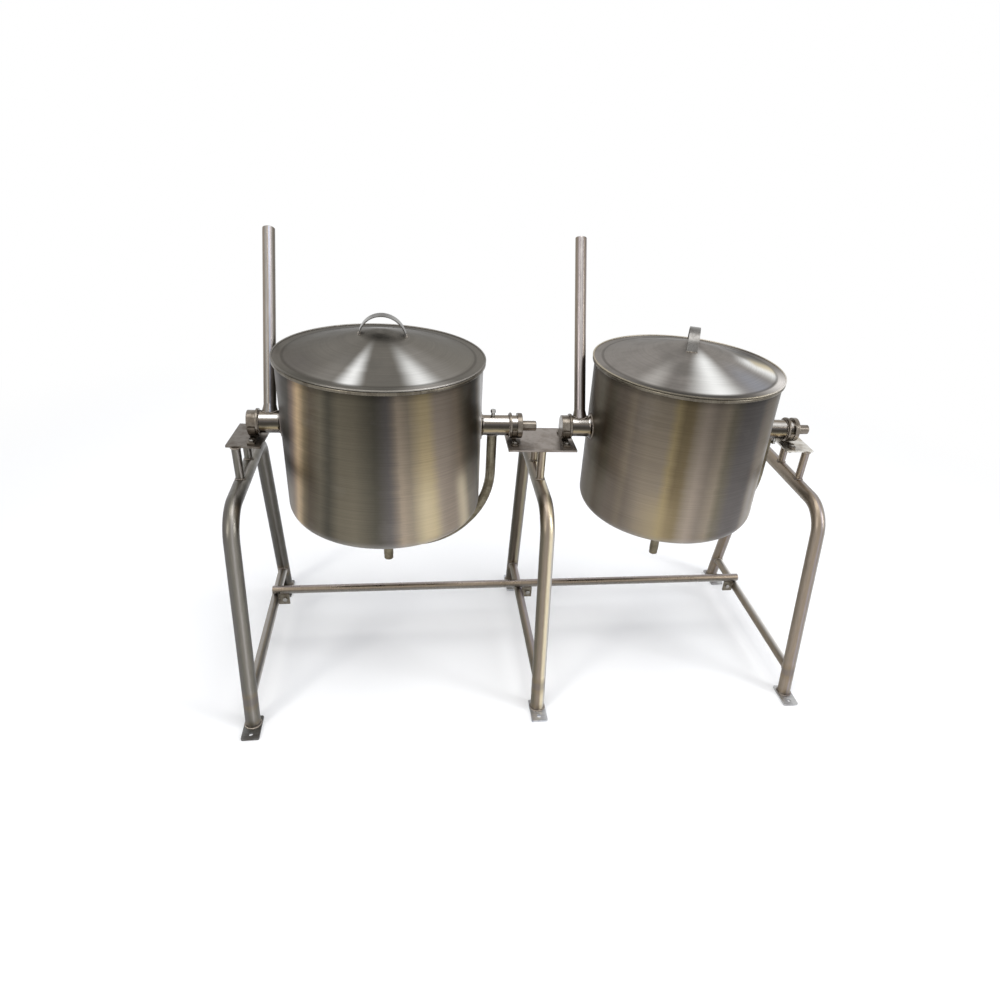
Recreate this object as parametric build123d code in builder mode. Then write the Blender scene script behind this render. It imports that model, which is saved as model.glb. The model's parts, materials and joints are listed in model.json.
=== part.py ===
from build123d import *
import math
import os

os.makedirs("parts", exist_ok=True)

# Pair of tilting steam jacketed kettles on one shared tube stand.
# Millimetres. +X runs along both trunnions, +Y to the back, +Z up.
# The origin is on the floor, under the middle frame, half way between the foot edges.

# ---------------------------------------------------------------- driving sizes
base_half_depth = 355.5      # foot edge to origin, front and back
frame_pitch = 765.0          # middle frame to each end frame
trunnion_y = 9.5
trunnion_z = 736.0
handle_len = 495.0
running_clear = 0.05         # radial, journal in cradle
side_clear = 1.0             # collar or flange to cradle side
lid_gap = 0.3                # lid brim over the rim ring

# top plates and the posts under them
cradle_height = 38.0         # trunnion axis over the plate
plate_top_z, plate_t = trunnion_z - cradle_height, 5.0
plate_low_z = plate_top_z - plate_t
plate_rear_reach, plate_end_front_reach = 74.0, 64.0
plate_outer_over, plate_inner_over = 19.0, 64.0
plate_mid_half = 92.0
plate_corner_r = 2.0
post_r, post_half_gap, post_len = 11.0, 57.5, 108.0

# portal frames
leg_r = 19.05
leg_wall = 2.0
arm_z = plate_top_z - post_len
front_foot_y, rear_foot_y = -base_half_depth + 54.0, base_half_depth - 25.0
front_knee_y, rear_knee_y = front_foot_y + 96.0, rear_foot_y - 111.0
front_bend_r, rear_bend_r = 85.0, 50.0
leg_run_out = 20.0           # leg centre line carried on below the floor, then cut flat

# foot plates
foot_width, foot_depth, foot_t = 45.0, 82.0, 6.0
foot_hole_r, foot_corner_r = 6.0, 4.0
front_hole_y, rear_hole_y = -base_half_depth + 17.0, base_half_depth - 73.5
rear_foot_depth = 90.0

# spreaders and cross tube
spreader_r, spreader_wall, spreader_z = 13.35, 2.3, 85.0
cross_r, cross_wall, cross_over = 12.7, 2.0, 7.0
cross_y = base_half_depth - 200.0
cross_z = spreader_z + spreader_r + cross_r
clip_t, clip_bottom_z, clip_top_z = 4.0, 66.0, 103.0
clip_near, clip_far, clip_tab_w = 9.0, 42.0, 24.0
clip_bolt_r, clip_bolt_out, clip_bolt_z = 4.0, 29.0, 86.0
clip_head_af, clip_head_h = 13.0, 5.5
ear_front_y = cross_y - 15.0
tab_front_y = ear_front_y + clip_t

# cradles (open half bearings)
cradle_wall, cradle_cut = 5.0, 2.0
cradle_web = 12.0
cradle_foot_len, cradle_foot_t = 110.0, 5.0
cradle_pad_len, cradle_pad_w = 26.0, 22.0
cradle_bolt_half, cradle_bolt_r = 42.0, 4.0
cradle_head_af, cradle_head_h = 13.0, 5.5
cradle_nut_h, cradle_tip = 6.5, 4.0
cradle_foot_top = plate_top_z + cradle_foot_t
bolt_hole_clear = 0.3

# kettle shells, sized to hang between two frames
jacket_r, shell_t = frame_pitch / 2 - 132.5, 3.0
steam_space = 25.0           # jacket to bowl, wall and crown alike
tangent_drop = 202.0         # trunnion axis down to the jacket tangent line
knuckle_r, crown_r = 41.0, 1.8 * jacket_r
bowl_r, bowl_tangent_drop = jacket_r - steam_space, 182.0
bowl_knuckle_r, bowl_crown_r = 36.0, crown_r - steam_space
rim_low, rim_high = 172.0, 181.0
rim_outer_r, rim_inner_r, rim_edge_r = jacket_r + 6.0, bowl_r - shell_t, 3.0

# trunnions, measured outwards from the kettle centre
trunnion_r, trunnion_bore_r, trunnion_inset = 27.0, 23.5, 8.0
flare_len, flare_rise, flare_arc_r = 7.0, 7.5, 9.5
collar_w, collar_r = 6.0, 34.0
handle_collar_in = jacket_r + 53.0
handle_collar_out = handle_collar_in + collar_w
handle_cradle_in = handle_collar_out + side_clear
handle_cradle_out = handle_cradle_in + 18.0
journal_r, cap_out = 29.5, handle_cradle_out + 2.5
cap_end_t, cap_edge_r = 5.0, 1.5
steam_collar_in = jacket_r + 75.0
steam_collar_out = steam_collar_in + collar_w
steam_cradle_in = steam_collar_out + side_clear
steam_cradle_out = steam_cradle_in + 13.0
flange_in = steam_cradle_out + side_clear
flange_w, flange_r, flange_edge_r = 13.0, 33.5, 1.5
flange_out = flange_in + flange_w
nipple_r, nipple_bore_r, nipple_chamfer = 13.35, 10.4, 1.2
nipple_out = flange_out + 39.0

# tilt handles
handle_out = jacket_r + 28.0
handle_r, handle_wall = 15.3, 2.0
handle_socket_r, handle_socket_len, handle_socket_inset = 20.5, 44.0, 6.0
handle_plug_t, handle_plug_edge_r = 4.0, 2.5

# condensate pipe, drain stub and vent plugs
pipe_r, pipe_wall = 13.35, 2.5
pipe_x, pipe_low_drop = jacket_r + 31.0, jacket_r + 108.0
pipe_corner_x, pipe_corner_drop = jacket_r - 95.0, pipe_low_drop - 136.0
pipe_bend_r, pipe_low_bend_r = 220.0, 200.0
stub_end_drop = pipe_low_drop + 57.0
stub_tip_r, stub_tip_len, stub_tip_chamfer = 12.7, 14.0, 1.0
plug_r, plug_len, plug_hex_af, plug_hex_h = 5.0, 17.0, 12.0, 8.0

# lids
lid_t, brim_r, brim_w = 2.0, jacket_r + 6.5, 25.0
lid_rise, lid_nose_r, brim_bead_r = 64.0, 26.0, 2.2
skirt_r, skirt_drop, skirt_t = rim_inner_r - 3.0, 9.0, 2.0
brim_low = rim_high + lid_gap
brim_top = brim_low + lid_t
cone_r = brim_r - brim_w
slope = math.atan2(lid_rise, cone_r)
strap_r, strap_t, strap_w = 56.0, 3.0, 28.0
strap_centre_up = 41.2       # arch centre above the brim

# kettle centre, tilt-handle lean, vent-plug place and side, lid-handle turn and place
left_kettle_x, right_kettle_x = -frame_pitch / 2 - 28.0, frame_pitch / 2 + 3.5
left_plug_out, right_plug_out = jacket_r + 31.5, jacket_r + 53.0
KETTLES = (
    ("left", left_kettle_x, 34.0, left_plug_out, 1, 0.0, 5.0),
    ("right", right_kettle_x, 26.0, right_plug_out, -1, 70.0, 0.0),
)
# frame place, side its clip is on, and twist of its top plate as welded
FRAMES = (
    ("left", -frame_pitch, 1, -4.0),
    ("middle", 0.0, 1, 0.0),
    ("right", frame_pitch, -1, 0.0),
)


def yz_plane(x):
    """Plane across the trunnion axis at x, local x to the back and local y up."""
    return Plane(origin=(x, trunnion_y, trunnion_z), x_dir=(0, 1, 0), z_dir=(1, 0, 0))


def xz_plane(x):
    """Upright plane through a kettle centre, local x to the right and local y up."""
    return Plane(origin=(x, trunnion_y, trunnion_z), x_dir=(1, 0, 0), z_dir=(0, -1, 0))


def dish(radius, knuckle, crown, tangent):
    """Tangent and middle points of a torispherical end, from the centre outwards."""
    kx, kz = radius - knuckle, -tangent
    cz = kz + math.sqrt((crown - knuckle) ** 2 - kx ** 2)
    lean = math.asin(kx / (crown - knuckle))
    on_crown = [(crown * math.sin(a), cz - crown * math.cos(a)) for a in (0, lean / 2, lean)]
    mid = (lean + math.pi / 2) / 2
    on_knuckle = (kx + knuckle * math.sin(mid), kz - knuckle * math.cos(mid))
    return on_crown[0], on_crown[1], on_crown[2], on_knuckle, (radius, kz), cz


def leg_direction(foot_y, knee_y):
    """Direction of a leg's centre line, from the floor up to its knee."""
    return (0, knee_y - foot_y, arm_z)


def leg_y(foot_y, knee_y, z):
    """Where the leg's centre line is at this height."""
    return foot_y + (knee_y - foot_y) * z / arm_z


def cone_up(radius):
    """Height of the lid's cone over its brim at this radius."""
    return lid_rise * (1 - radius / cone_r)


# ================================================================ the stand
for side, fx, inward, twist in FRAMES:
    # portal frame: one tube bent over two legs, cut flat on the foot plates
    with BuildPart() as frame:
        with BuildLine(Plane.YZ.offset(fx)) as run:
            FilletPolyline(
                (leg_y(front_foot_y, front_knee_y, -leg_run_out), -leg_run_out),
                (front_knee_y, arm_z),
                (rear_knee_y, arm_z),
                (leg_y(rear_foot_y, rear_knee_y, -leg_run_out), -leg_run_out),
                radius=(front_bend_r, rear_bend_r),
            )
        with BuildSketch(Plane(origin=run.line @ 0, z_dir=run.line % 0)):
            Circle(leg_r)
            Circle(leg_r - leg_wall, mode=Mode.SUBTRACT)
        sweep(path=run.line)
        with Locations((fx, 0, foot_t - 2 * leg_r)):
            Box(4 * leg_r, 3 * base_half_depth, 4 * leg_r, mode=Mode.SUBTRACT)
    frame.part.label = f"frame_{side}"
    export_step(frame.part, f"parts/frame_{side}.step")

    # foot plates: one bolt hole each, outside the front leg and inside the rear leg
    with BuildPart() as feet:
        with BuildSketch(Plane.XY):
            with Locations((fx, -base_half_depth + foot_depth / 2)):
                RectangleRounded(foot_width, foot_depth, foot_corner_r)
            with Locations((fx, base_half_depth - rear_foot_depth / 2)):
                RectangleRounded(foot_width, rear_foot_depth, foot_corner_r)
            with Locations((fx, front_hole_y), (fx, rear_hole_y)):
                Circle(foot_hole_r, mode=Mode.SUBTRACT)
        extrude(amount=foot_t)
    feet.part.label = f"feet_{side}"
    export_step(feet.part, f"parts/feet_{side}.step")

    # two posts coped onto the arm, carrying the top plate
    with BuildPart() as posts:
        with BuildSketch(Plane.XY.offset(arm_z)):
            with Locations(
                (fx, trunnion_y - post_half_gap), (fx, trunnion_y + post_half_gap)
            ):
                Circle(post_r)
        extrude(amount=plate_low_z - arm_z)
        with Locations((fx, trunnion_y, arm_z)):
            Cylinder(leg_r, 3 * post_half_gap, rotation=(90, 0, 0), mode=Mode.SUBTRACT)
    posts.part.label = f"posts_{side}"
    export_step(posts.part, f"parts/posts_{side}.step")

    # lower spreader tube, coped onto both legs
    with BuildPart() as spreader:
        near_y = leg_y(front_foot_y, front_knee_y, spreader_z)
        far_y = leg_y(rear_foot_y, rear_knee_y, spreader_z)
        with BuildSketch(Plane(origin=(fx, near_y, spreader_z), z_dir=(0, 1, 0))):
            Circle(spreader_r)
            Circle(spreader_r - spreader_wall, mode=Mode.SUBTRACT)
        extrude(amount=far_y - near_y)
        for foot_y, knee_y in ((front_foot_y, front_knee_y), (rear_foot_y, rear_knee_y)):
            with BuildSketch(
                Plane(origin=(fx, foot_y, 0), z_dir=leg_direction(foot_y, knee_y))
            ):
                Circle(leg_r)
            extrude(amount=arm_z / 2, mode=Mode.SUBTRACT)
    spreader.part.label = f"spreader_{side}"
    export_step(spreader.part, f"parts/spreader_{side}.step")

    # top plate: end plates reach further in than out, the middle one is symmetric
    with BuildPart() as top_plate:
        front_reach = plate_end_front_reach
        if side == "middle":
            front_reach = plate_rear_reach
            low_x, high_x = -plate_mid_half, plate_mid_half
            holes = [
                KETTLES[0][1] + (steam_cradle_in + steam_cradle_out) / 2,
                KETTLES[1][1] - (handle_cradle_in + handle_cradle_out) / 2,
            ]
        elif side == "left":
            low_x, high_x = fx - plate_outer_over, fx + plate_inner_over
            holes = [KETTLES[0][1] - (handle_cradle_in + handle_cradle_out) / 2]
        else:
            low_x, high_x = fx - plate_inner_over, fx + plate_outer_over
            holes = [KETTLES[1][1] + (steam_cradle_in + steam_cradle_out) / 2]
        with BuildSketch(Plane.XY.offset(plate_low_z)):
            middle_y = trunnion_y + (plate_rear_reach - front_reach) / 2
            with Locations(((low_x + high_x) / 2, middle_y)):
                RectangleRounded(
                    high_x - low_x, plate_rear_reach + front_reach, plate_corner_r,
                    rotation=twist,
                )
            for hx in holes:
                with Locations(
                    (hx, trunnion_y - cradle_bolt_half), (hx, trunnion_y + cradle_bolt_half)
                ):
                    Circle(cradle_bolt_r + bolt_hole_clear, mode=Mode.SUBTRACT)
        extrude(amount=plate_t)
    top_plate.part.label = f"top_plate_{side}"
    export_step(top_plate.part, f"parts/top_plate_{side}.step")

# long cross tube lying on the three spreaders
with BuildPart() as cross_tube:
    with BuildSketch(
        Plane(origin=(-frame_pitch - cross_over, cross_y, cross_z), z_dir=(1, 0, 0))
    ):
        Circle(cross_r)
        Circle(cross_r - cross_wall, mode=Mode.SUBTRACT)
    extrude(amount=2 * (frame_pitch + cross_over))
cross_tube.part.label = "cross_tube"
export_step(cross_tube.part, "parts/cross_tube.step")

# flat ears welded to the spreader sides, and tabs hanging from the cross tube behind
ear_centres = [fx + inward * (clip_near + clip_far) / 2 for _, fx, inward, _ in FRAMES]
bolt_centres = [fx + inward * clip_bolt_out for _, fx, inward, _ in FRAMES]
clip_drill = 10 * clip_t

with BuildPart() as clip_ears:
    for cx in ear_centres:
        with Locations((cx, ear_front_y + clip_t / 2, (clip_bottom_z + clip_top_z) / 2)):
            Box(clip_far - clip_near, clip_t, clip_top_z - clip_bottom_z)
    for _, fx, _, _ in FRAMES:
        with Locations((fx, cross_y, spreader_z)):
            Cylinder(spreader_r, 4 * spreader_r, rotation=(90, 0, 0), mode=Mode.SUBTRACT)
    for bx in bolt_centres:
        with Locations((bx, ear_front_y, clip_bolt_z)):
            Cylinder(clip_bolt_r + bolt_hole_clear, clip_drill, rotation=(90, 0, 0),
                     mode=Mode.SUBTRACT)
clip_ears.part.label = "clip_ears"
export_step(clip_ears.part, "parts/clip_ears.step")

with BuildPart() as clip_tabs:
    for bx in bolt_centres:
        with Locations((bx, tab_front_y + clip_t / 2, (clip_bottom_z + cross_z) / 2)):
            Box(clip_tab_w, clip_t, cross_z - clip_bottom_z)
    with Locations((0, cross_y, cross_z)):
        Cylinder(cross_r, 2 * (frame_pitch + cross_over), rotation=(0, 90, 0),
                 mode=Mode.SUBTRACT)
    for bx in bolt_centres:
        with Locations((bx, tab_front_y, clip_bolt_z)):
            Cylinder(clip_bolt_r + bolt_hole_clear, clip_drill, rotation=(90, 0, 0),
                     mode=Mode.SUBTRACT)
clip_tabs.part.label = "clip_tabs"
export_step(clip_tabs.part, "parts/clip_tabs.step")

with BuildPart() as clip_bolts:
    with BuildSketch(Plane.XZ.offset(-(ear_front_y - clip_head_h))):
        with Locations(*[(bx, clip_bolt_z) for bx in bolt_centres]):
            RegularPolygon(clip_head_af / 2, 6, major_radius=False)
    extrude(amount=-clip_head_h)
    with BuildSketch(Plane.XZ.offset(-ear_front_y)):
        with Locations(*[(bx, clip_bolt_z) for bx in bolt_centres]):
            Circle(clip_bolt_r)
    extrude(amount=-(2 * clip_t + cradle_nut_h + cradle_tip))
clip_bolts.part.label = "clip_bolts"
export_step(clip_bolts.part, "parts/clip_bolts.step")

with BuildPart() as clip_nuts:
    with BuildSketch(Plane.XZ.offset(-(tab_front_y + clip_t))):
        with Locations(*[(bx, clip_bolt_z) for bx in bolt_centres]):
            RegularPolygon(clip_head_af / 2, 6, major_radius=False)
            Circle(clip_bolt_r, mode=Mode.SUBTRACT)
    extrude(amount=-cradle_nut_h)
clip_nuts.part.label = "clip_nuts"
export_step(clip_nuts.part, "parts/clip_nuts.step")

# open cradles: half ring, web and bolted foot, one under each journal
cradle_middles = []
for name, kx, *_ in KETTLES:
    for end, near, far, bore in (
        ("handle", kx - handle_cradle_out, kx - handle_cradle_in, journal_r),
        ("steam", kx + steam_cradle_in, kx + steam_cradle_out, trunnion_r),
    ):
        bore_r = bore + running_clear
        ring_r = bore_r + cradle_wall
        width = far - near
        cradle_middles.append((near + far) / 2)
        with BuildPart() as cradle:
            with BuildSketch(yz_plane(near)):
                Circle(ring_r)
                with Locations((0, (cradle_foot_top - trunnion_z) / 2)):
                    Rectangle(2 * cradle_web, trunnion_z - cradle_foot_top)
                Circle(bore_r, mode=Mode.SUBTRACT)
                with Locations((0, ring_r - cradle_cut)):
                    Rectangle(3 * ring_r, 2 * ring_r, mode=Mode.SUBTRACT)
                with Locations((0, cradle_foot_top - trunnion_z - cradle_foot_t / 2)):
                    Rectangle(cradle_foot_len, cradle_foot_t)
            extrude(amount=width)
            with BuildSketch(Plane.XY.offset(plate_top_z)):
                with Locations(
                    ((near + far) / 2, trunnion_y - cradle_bolt_half),
                    ((near + far) / 2, trunnion_y + cradle_bolt_half),
                ):
                    SlotOverall(cradle_pad_len, cradle_pad_w, rotation=90)
            extrude(amount=cradle_foot_t)
            with BuildSketch(Plane.XY.offset(plate_top_z)):
                with Locations(
                    ((near + far) / 2, trunnion_y - cradle_bolt_half),
                    ((near + far) / 2, trunnion_y + cradle_bolt_half),
                ):
                    Circle(cradle_bolt_r + bolt_hole_clear)
            extrude(amount=cradle_foot_t, mode=Mode.SUBTRACT)
        cradle.part.label = f"cradle_{name}_{end}"
        export_step(cradle.part, f"parts/cradle_{name}_{end}.step")

cradle_bolt_places = [
    (cx, trunnion_y + s * cradle_bolt_half) for cx in cradle_middles for s in (-1, 1)
]
with BuildPart() as cradle_bolts:
    with BuildSketch(Plane.XY.offset(cradle_foot_top)):
        with Locations(*cradle_bolt_places):
            RegularPolygon(cradle_head_af / 2, 6, major_radius=False)
    extrude(amount=cradle_head_h)
    with BuildSketch(Plane.XY.offset(cradle_foot_top)):
        with Locations(*cradle_bolt_places):
            Circle(cradle_bolt_r)
    extrude(amount=-(cradle_foot_t + plate_t + cradle_nut_h + cradle_tip))
cradle_bolts.part.label = "cradle_bolts"
export_step(cradle_bolts.part, "parts/cradle_bolts.step")

with BuildPart() as cradle_nuts:
    with BuildSketch(Plane.XY.offset(plate_low_z)):
        with Locations(*cradle_bolt_places):
            RegularPolygon(cradle_head_af / 2, 6, major_radius=False)
            Circle(cradle_bolt_r, mode=Mode.SUBTRACT)
    extrude(amount=-cradle_nut_h)
cradle_nuts.part.label = "cradle_nuts"
export_step(cradle_nuts.part, "parts/cradle_nuts.step")

# ================================================================ the kettles
for name, kx, lean, plug_x, plug_up, turn, strap_x in KETTLES:
    centre_axis = Axis((kx, trunnion_y, 0), (0, 0, 1))
    handle_dir = (0, math.sin(math.radians(lean)), math.cos(math.radians(lean)))

    # outer jacket: straight wall and torispherical bottom, open to trunnion and stub
    with BuildPart() as jacket:
        out = dish(jacket_r, knuckle_r, crown_r, tangent_drop)
        inn = dish(jacket_r - shell_t, knuckle_r - shell_t, crown_r - shell_t, tangent_drop)
        with BuildSketch(xz_plane(kx)):
            with BuildLine():
                ThreePointArc(out[0], out[1], out[2])
                ThreePointArc(out[2], out[3], out[4])
                Line(out[4], (jacket_r, rim_low))
                Line((jacket_r, rim_low), (jacket_r - shell_t, rim_low))
                Line((jacket_r - shell_t, rim_low), inn[4])
                ThreePointArc(inn[4], inn[3], inn[2])
                ThreePointArc(inn[2], inn[1], inn[0])
                Line(inn[0], out[0])
            make_face()
        revolve(axis=centre_axis)
        with BuildSketch(yz_plane(kx)):
            Circle(trunnion_bore_r)
        extrude(amount=jacket_r + shell_t, mode=Mode.SUBTRACT)
        with BuildSketch(Plane.XY.offset(trunnion_z - stub_end_drop)):
            with Locations((kx, trunnion_y)):
                Circle(pipe_r - pipe_wall)
        extrude(amount=stub_end_drop - tangent_drop, mode=Mode.SUBTRACT)
    jacket.part.label = f"{name}_jacket"
    export_step(jacket.part, f"parts/{name}_jacket.step")

    # inner bowl, clear of the jacket by the steam space
    with BuildPart() as bowl:
        b_out = dish(bowl_r, bowl_knuckle_r, bowl_crown_r, bowl_tangent_drop)
        b_in = dish(bowl_r - shell_t, bowl_knuckle_r - shell_t, bowl_crown_r - shell_t,
                    bowl_tangent_drop)
        with BuildSketch(xz_plane(kx)):
            with BuildLine():
                ThreePointArc(b_out[0], b_out[1], b_out[2])
                ThreePointArc(b_out[2], b_out[3], b_out[4])
                Line(b_out[4], (bowl_r, rim_low))
                Line((bowl_r, rim_low), (bowl_r - shell_t, rim_low))
                Line((bowl_r - shell_t, rim_low), b_in[4])
                ThreePointArc(b_in[4], b_in[3], b_in[2])
                ThreePointArc(b_in[2], b_in[1], b_in[0])
                Line(b_in[0], b_out[0])
            make_face()
        revolve(axis=centre_axis)
    bowl.part.label = f"{name}_bowl"
    export_step(bowl.part, f"parts/{name}_bowl.step")

    # flat rim ring closing the steam space, rounded outside
    with BuildPart() as rim_ring:
        with BuildSketch(xz_plane(kx)) as rim_section:
            with Locations(((rim_inner_r + rim_outer_r) / 2, (rim_low + rim_high) / 2)):
                Rectangle(rim_outer_r - rim_inner_r, rim_high - rim_low)
            fillet(rim_section.vertices().group_by(Axis.X)[-1], rim_edge_r)
        revolve(axis=centre_axis)
    rim_ring.part.label = f"{name}_rim_ring"
    export_step(rim_ring.part, f"parts/{name}_rim_ring.step")

    # trunnion tubes, flared where they are welded round the jacket wall
    for end, way, reach in (("handle", -1, handle_collar_out), ("steam", 1, flange_in)):
        with BuildPart() as trunnion:
            with BuildSketch(xz_plane(kx)):
                with BuildLine():
                    inner_end = jacket_r - trunnion_inset
                    Polyline(
                        (way * (jacket_r + flare_len), trunnion_r),
                        (way * reach, trunnion_r),
                        (way * reach, trunnion_bore_r),
                        (way * inner_end, trunnion_bore_r),
                        (way * inner_end, trunnion_r + flare_rise),
                        (way * jacket_r, trunnion_r + flare_rise),
                    )
                    RadiusArc(
                        (way * jacket_r, trunnion_r + flare_rise),
                        (way * (jacket_r + flare_len), trunnion_r),
                        -way * flare_arc_r,
                    )
                make_face()
            revolve(axis=Axis((kx, trunnion_y, trunnion_z), (1, 0, 0)))
            with Locations((kx, trunnion_y, trunnion_z)):
                Cylinder(jacket_r, 4 * trunnion_r, mode=Mode.SUBTRACT)
            if end == "steam":
                with BuildSketch(Plane.XY.offset(trunnion_z)):
                    with Locations((kx + pipe_x, trunnion_y)):
                        Circle(pipe_r - pipe_wall)
                extrude(amount=-1.5 * trunnion_r, mode=Mode.SUBTRACT)
        trunnion.part.label = f"{name}_{end}_trunnion"
        export_step(trunnion.part, f"parts/{name}_{end}_trunnion.step")

    # closed journal cap on the handle end
    with BuildPart() as journal_cap:
        with BuildSketch(yz_plane(kx - handle_collar_out)):
            Circle(journal_r)
        extrude(amount=handle_collar_out - cap_out)
        with BuildSketch(yz_plane(kx - handle_collar_out)):
            Circle(trunnion_bore_r)
        extrude(amount=handle_collar_out - cap_out + cap_end_t, mode=Mode.SUBTRACT)
        fillet(journal_cap.faces().sort_by(Axis.X)[0].edges(), cap_edge_r)
    journal_cap.part.label = f"{name}_journal_cap"
    export_step(journal_cap.part, f"parts/{name}_journal_cap.step")

    # collars welded round the trunnions, just clear of the cradle sides
    with BuildPart() as collars:
        for low_x in (kx - handle_collar_out, kx + steam_collar_in):
            with BuildSketch(yz_plane(low_x)):
                Circle(collar_r)
                Circle(trunnion_r, mode=Mode.SUBTRACT)
            extrude(amount=collar_w)
    collars.part.label = f"{name}_collars"
    export_step(collars.part, f"parts/{name}_collars.step")

    # steam flange and pipe nipple, bored through to the trunnion
    with BuildPart() as steam_flange:
        with BuildSketch(yz_plane(kx + flange_in)):
            Circle(flange_r)
            Circle(nipple_bore_r, mode=Mode.SUBTRACT)
        extrude(amount=flange_w)
        fillet(steam_flange.faces().sort_by(Axis.X)[-1].outer_wire().edges(), flange_edge_r)
    steam_flange.part.label = f"{name}_steam_flange"
    export_step(steam_flange.part, f"parts/{name}_steam_flange.step")

    with BuildPart() as steam_nipple:
        with BuildSketch(yz_plane(kx + flange_out)):
            Circle(nipple_r)
            Circle(nipple_bore_r, mode=Mode.SUBTRACT)
        extrude(amount=nipple_out - flange_out)
        chamfer(steam_nipple.faces().sort_by(Axis.X)[-1].outer_wire().edges(), nipple_chamfer)
    steam_nipple.part.label = f"{name}_steam_nipple"
    export_step(steam_nipple.part, f"parts/{name}_steam_nipple.step")

    # tilt handle: tube with a flared socket coped round the trunnion, plugged on top
    handle_base = Plane(
        origin=(kx - handle_out, trunnion_y, trunnion_z), x_dir=(1, 0, 0), z_dir=handle_dir
    )
    with BuildPart() as tilt_handle:
        with BuildSketch(handle_base):
            Circle(handle_r)
        extrude(amount=handle_len - handle_plug_t)
        with BuildSketch(handle_base.offset(trunnion_r - handle_socket_inset)):
            Circle(handle_socket_r)
        with BuildSketch(handle_base.offset(handle_socket_len)):
            Circle(handle_r)
        loft()
        with BuildSketch(handle_base):
            Circle(handle_r - handle_wall)
        extrude(amount=handle_len, mode=Mode.SUBTRACT)
        with Locations((kx - handle_out, trunnion_y, trunnion_z)):
            Cylinder(trunnion_r, 4 * handle_socket_r, rotation=(0, 90, 0), mode=Mode.SUBTRACT)
    tilt_handle.part.label = f"{name}_tilt_handle"
    export_step(tilt_handle.part, f"parts/{name}_tilt_handle.step")

    with BuildPart() as handle_plug:
        with BuildSketch(handle_base.offset(handle_len - handle_plug_t)):
            Circle(handle_r)
        extrude(amount=handle_plug_t)
        fillet(
            handle_plug.edges().sort_by(Axis(handle_base.origin, handle_dir))[-1],
            handle_plug_edge_r,
        )
    handle_plug.part.label = f"{name}_handle_plug"
    export_step(handle_plug.part, f"parts/{name}_handle_plug.step")

    # drain stub under the bottom centre, its end turned down for a cap or hose
    with BuildPart() as drain_stub:
        with BuildSketch(Plane.XY.offset(trunnion_z - stub_end_drop)):
            with Locations((kx, trunnion_y)):
                Circle(stub_tip_r)
        extrude(amount=stub_tip_len)
        chamfer(drain_stub.faces().sort_by(Axis.Z)[0].edges(), stub_tip_chamfer)
        with BuildSketch(Plane.XY.offset(trunnion_z - stub_end_drop + stub_tip_len)):
            with Locations((kx, trunnion_y)):
                Circle(pipe_r)
        extrude(amount=stub_end_drop - stub_tip_len - tangent_drop)
        with BuildSketch(Plane.XY.offset(trunnion_z - stub_end_drop)):
            with Locations((kx, trunnion_y)):
                Circle(pipe_r - pipe_wall)
        extrude(amount=stub_end_drop - tangent_drop, mode=Mode.SUBTRACT)
        with Locations((kx, trunnion_y, trunnion_z + out[5])):
            Sphere(crown_r, mode=Mode.SUBTRACT)
        with BuildSketch(
            Plane(origin=(kx, trunnion_y, trunnion_z - pipe_low_drop), z_dir=(1, 0, 0))
        ):
            Circle(pipe_r - pipe_wall)
        extrude(amount=2 * pipe_r, mode=Mode.SUBTRACT)
    drain_stub.part.label = f"{name}_drain_stub"
    export_step(drain_stub.part, f"parts/{name}_drain_stub.step")

    # condensate pipe: down from the trunnion, round the jacket in two bends, level into the stub
    with BuildPart() as siphon_pipe:
        with BuildLine(xz_plane(kx)) as pipe_run:
            FilletPolyline(
                (pipe_x, 0),
                (pipe_x, -pipe_corner_drop),
                (pipe_corner_x, -pipe_low_drop),
                (0, -pipe_low_drop),
                radius=(pipe_bend_r, pipe_low_bend_r),
            )
        with BuildSketch(Plane(origin=pipe_run.line @ 0, z_dir=pipe_run.line % 0)):
            Circle(pipe_r)
            Circle(pipe_r - pipe_wall, mode=Mode.SUBTRACT)
        sweep(path=pipe_run.line)
        with Locations((kx + pipe_x, trunnion_y, trunnion_z)):
            Cylinder(trunnion_r, 4 * pipe_r, rotation=(0, 90, 0), mode=Mode.SUBTRACT)
        with Locations((kx, trunnion_y, trunnion_z - pipe_low_drop)):
            Cylinder(pipe_r, 4 * pipe_r, mode=Mode.SUBTRACT)
    siphon_pipe.part.label = f"{name}_siphon_pipe"
    export_step(siphon_pipe.part, f"parts/{name}_siphon_pipe.step")

    # small vent plug with a hexagon head, on top of or under the steam trunnion
    with BuildPart() as vent_plug:
        plug_plane = Plane(
            origin=(kx + plug_x, trunnion_y, trunnion_z), x_dir=(1, 0, 0),
            z_dir=(0, 0, plug_up),
        )
        with BuildSketch(plug_plane):
            Circle(plug_r)
        extrude(amount=trunnion_r + plug_len)
        with BuildSketch(plug_plane.offset(trunnion_r + plug_len - plug_hex_h)):
            RegularPolygon(plug_hex_af / 2, 6, major_radius=False)
        extrude(amount=plug_hex_h)
        with Locations((kx + plug_x, trunnion_y, trunnion_z)):
            Cylinder(trunnion_r, 4 * plug_hex_af, rotation=(0, 90, 0), mode=Mode.SUBTRACT)
    vent_plug.part.label = f"{name}_vent_plug"
    export_step(vent_plug.part, f"parts/{name}_vent_plug.step")

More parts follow.
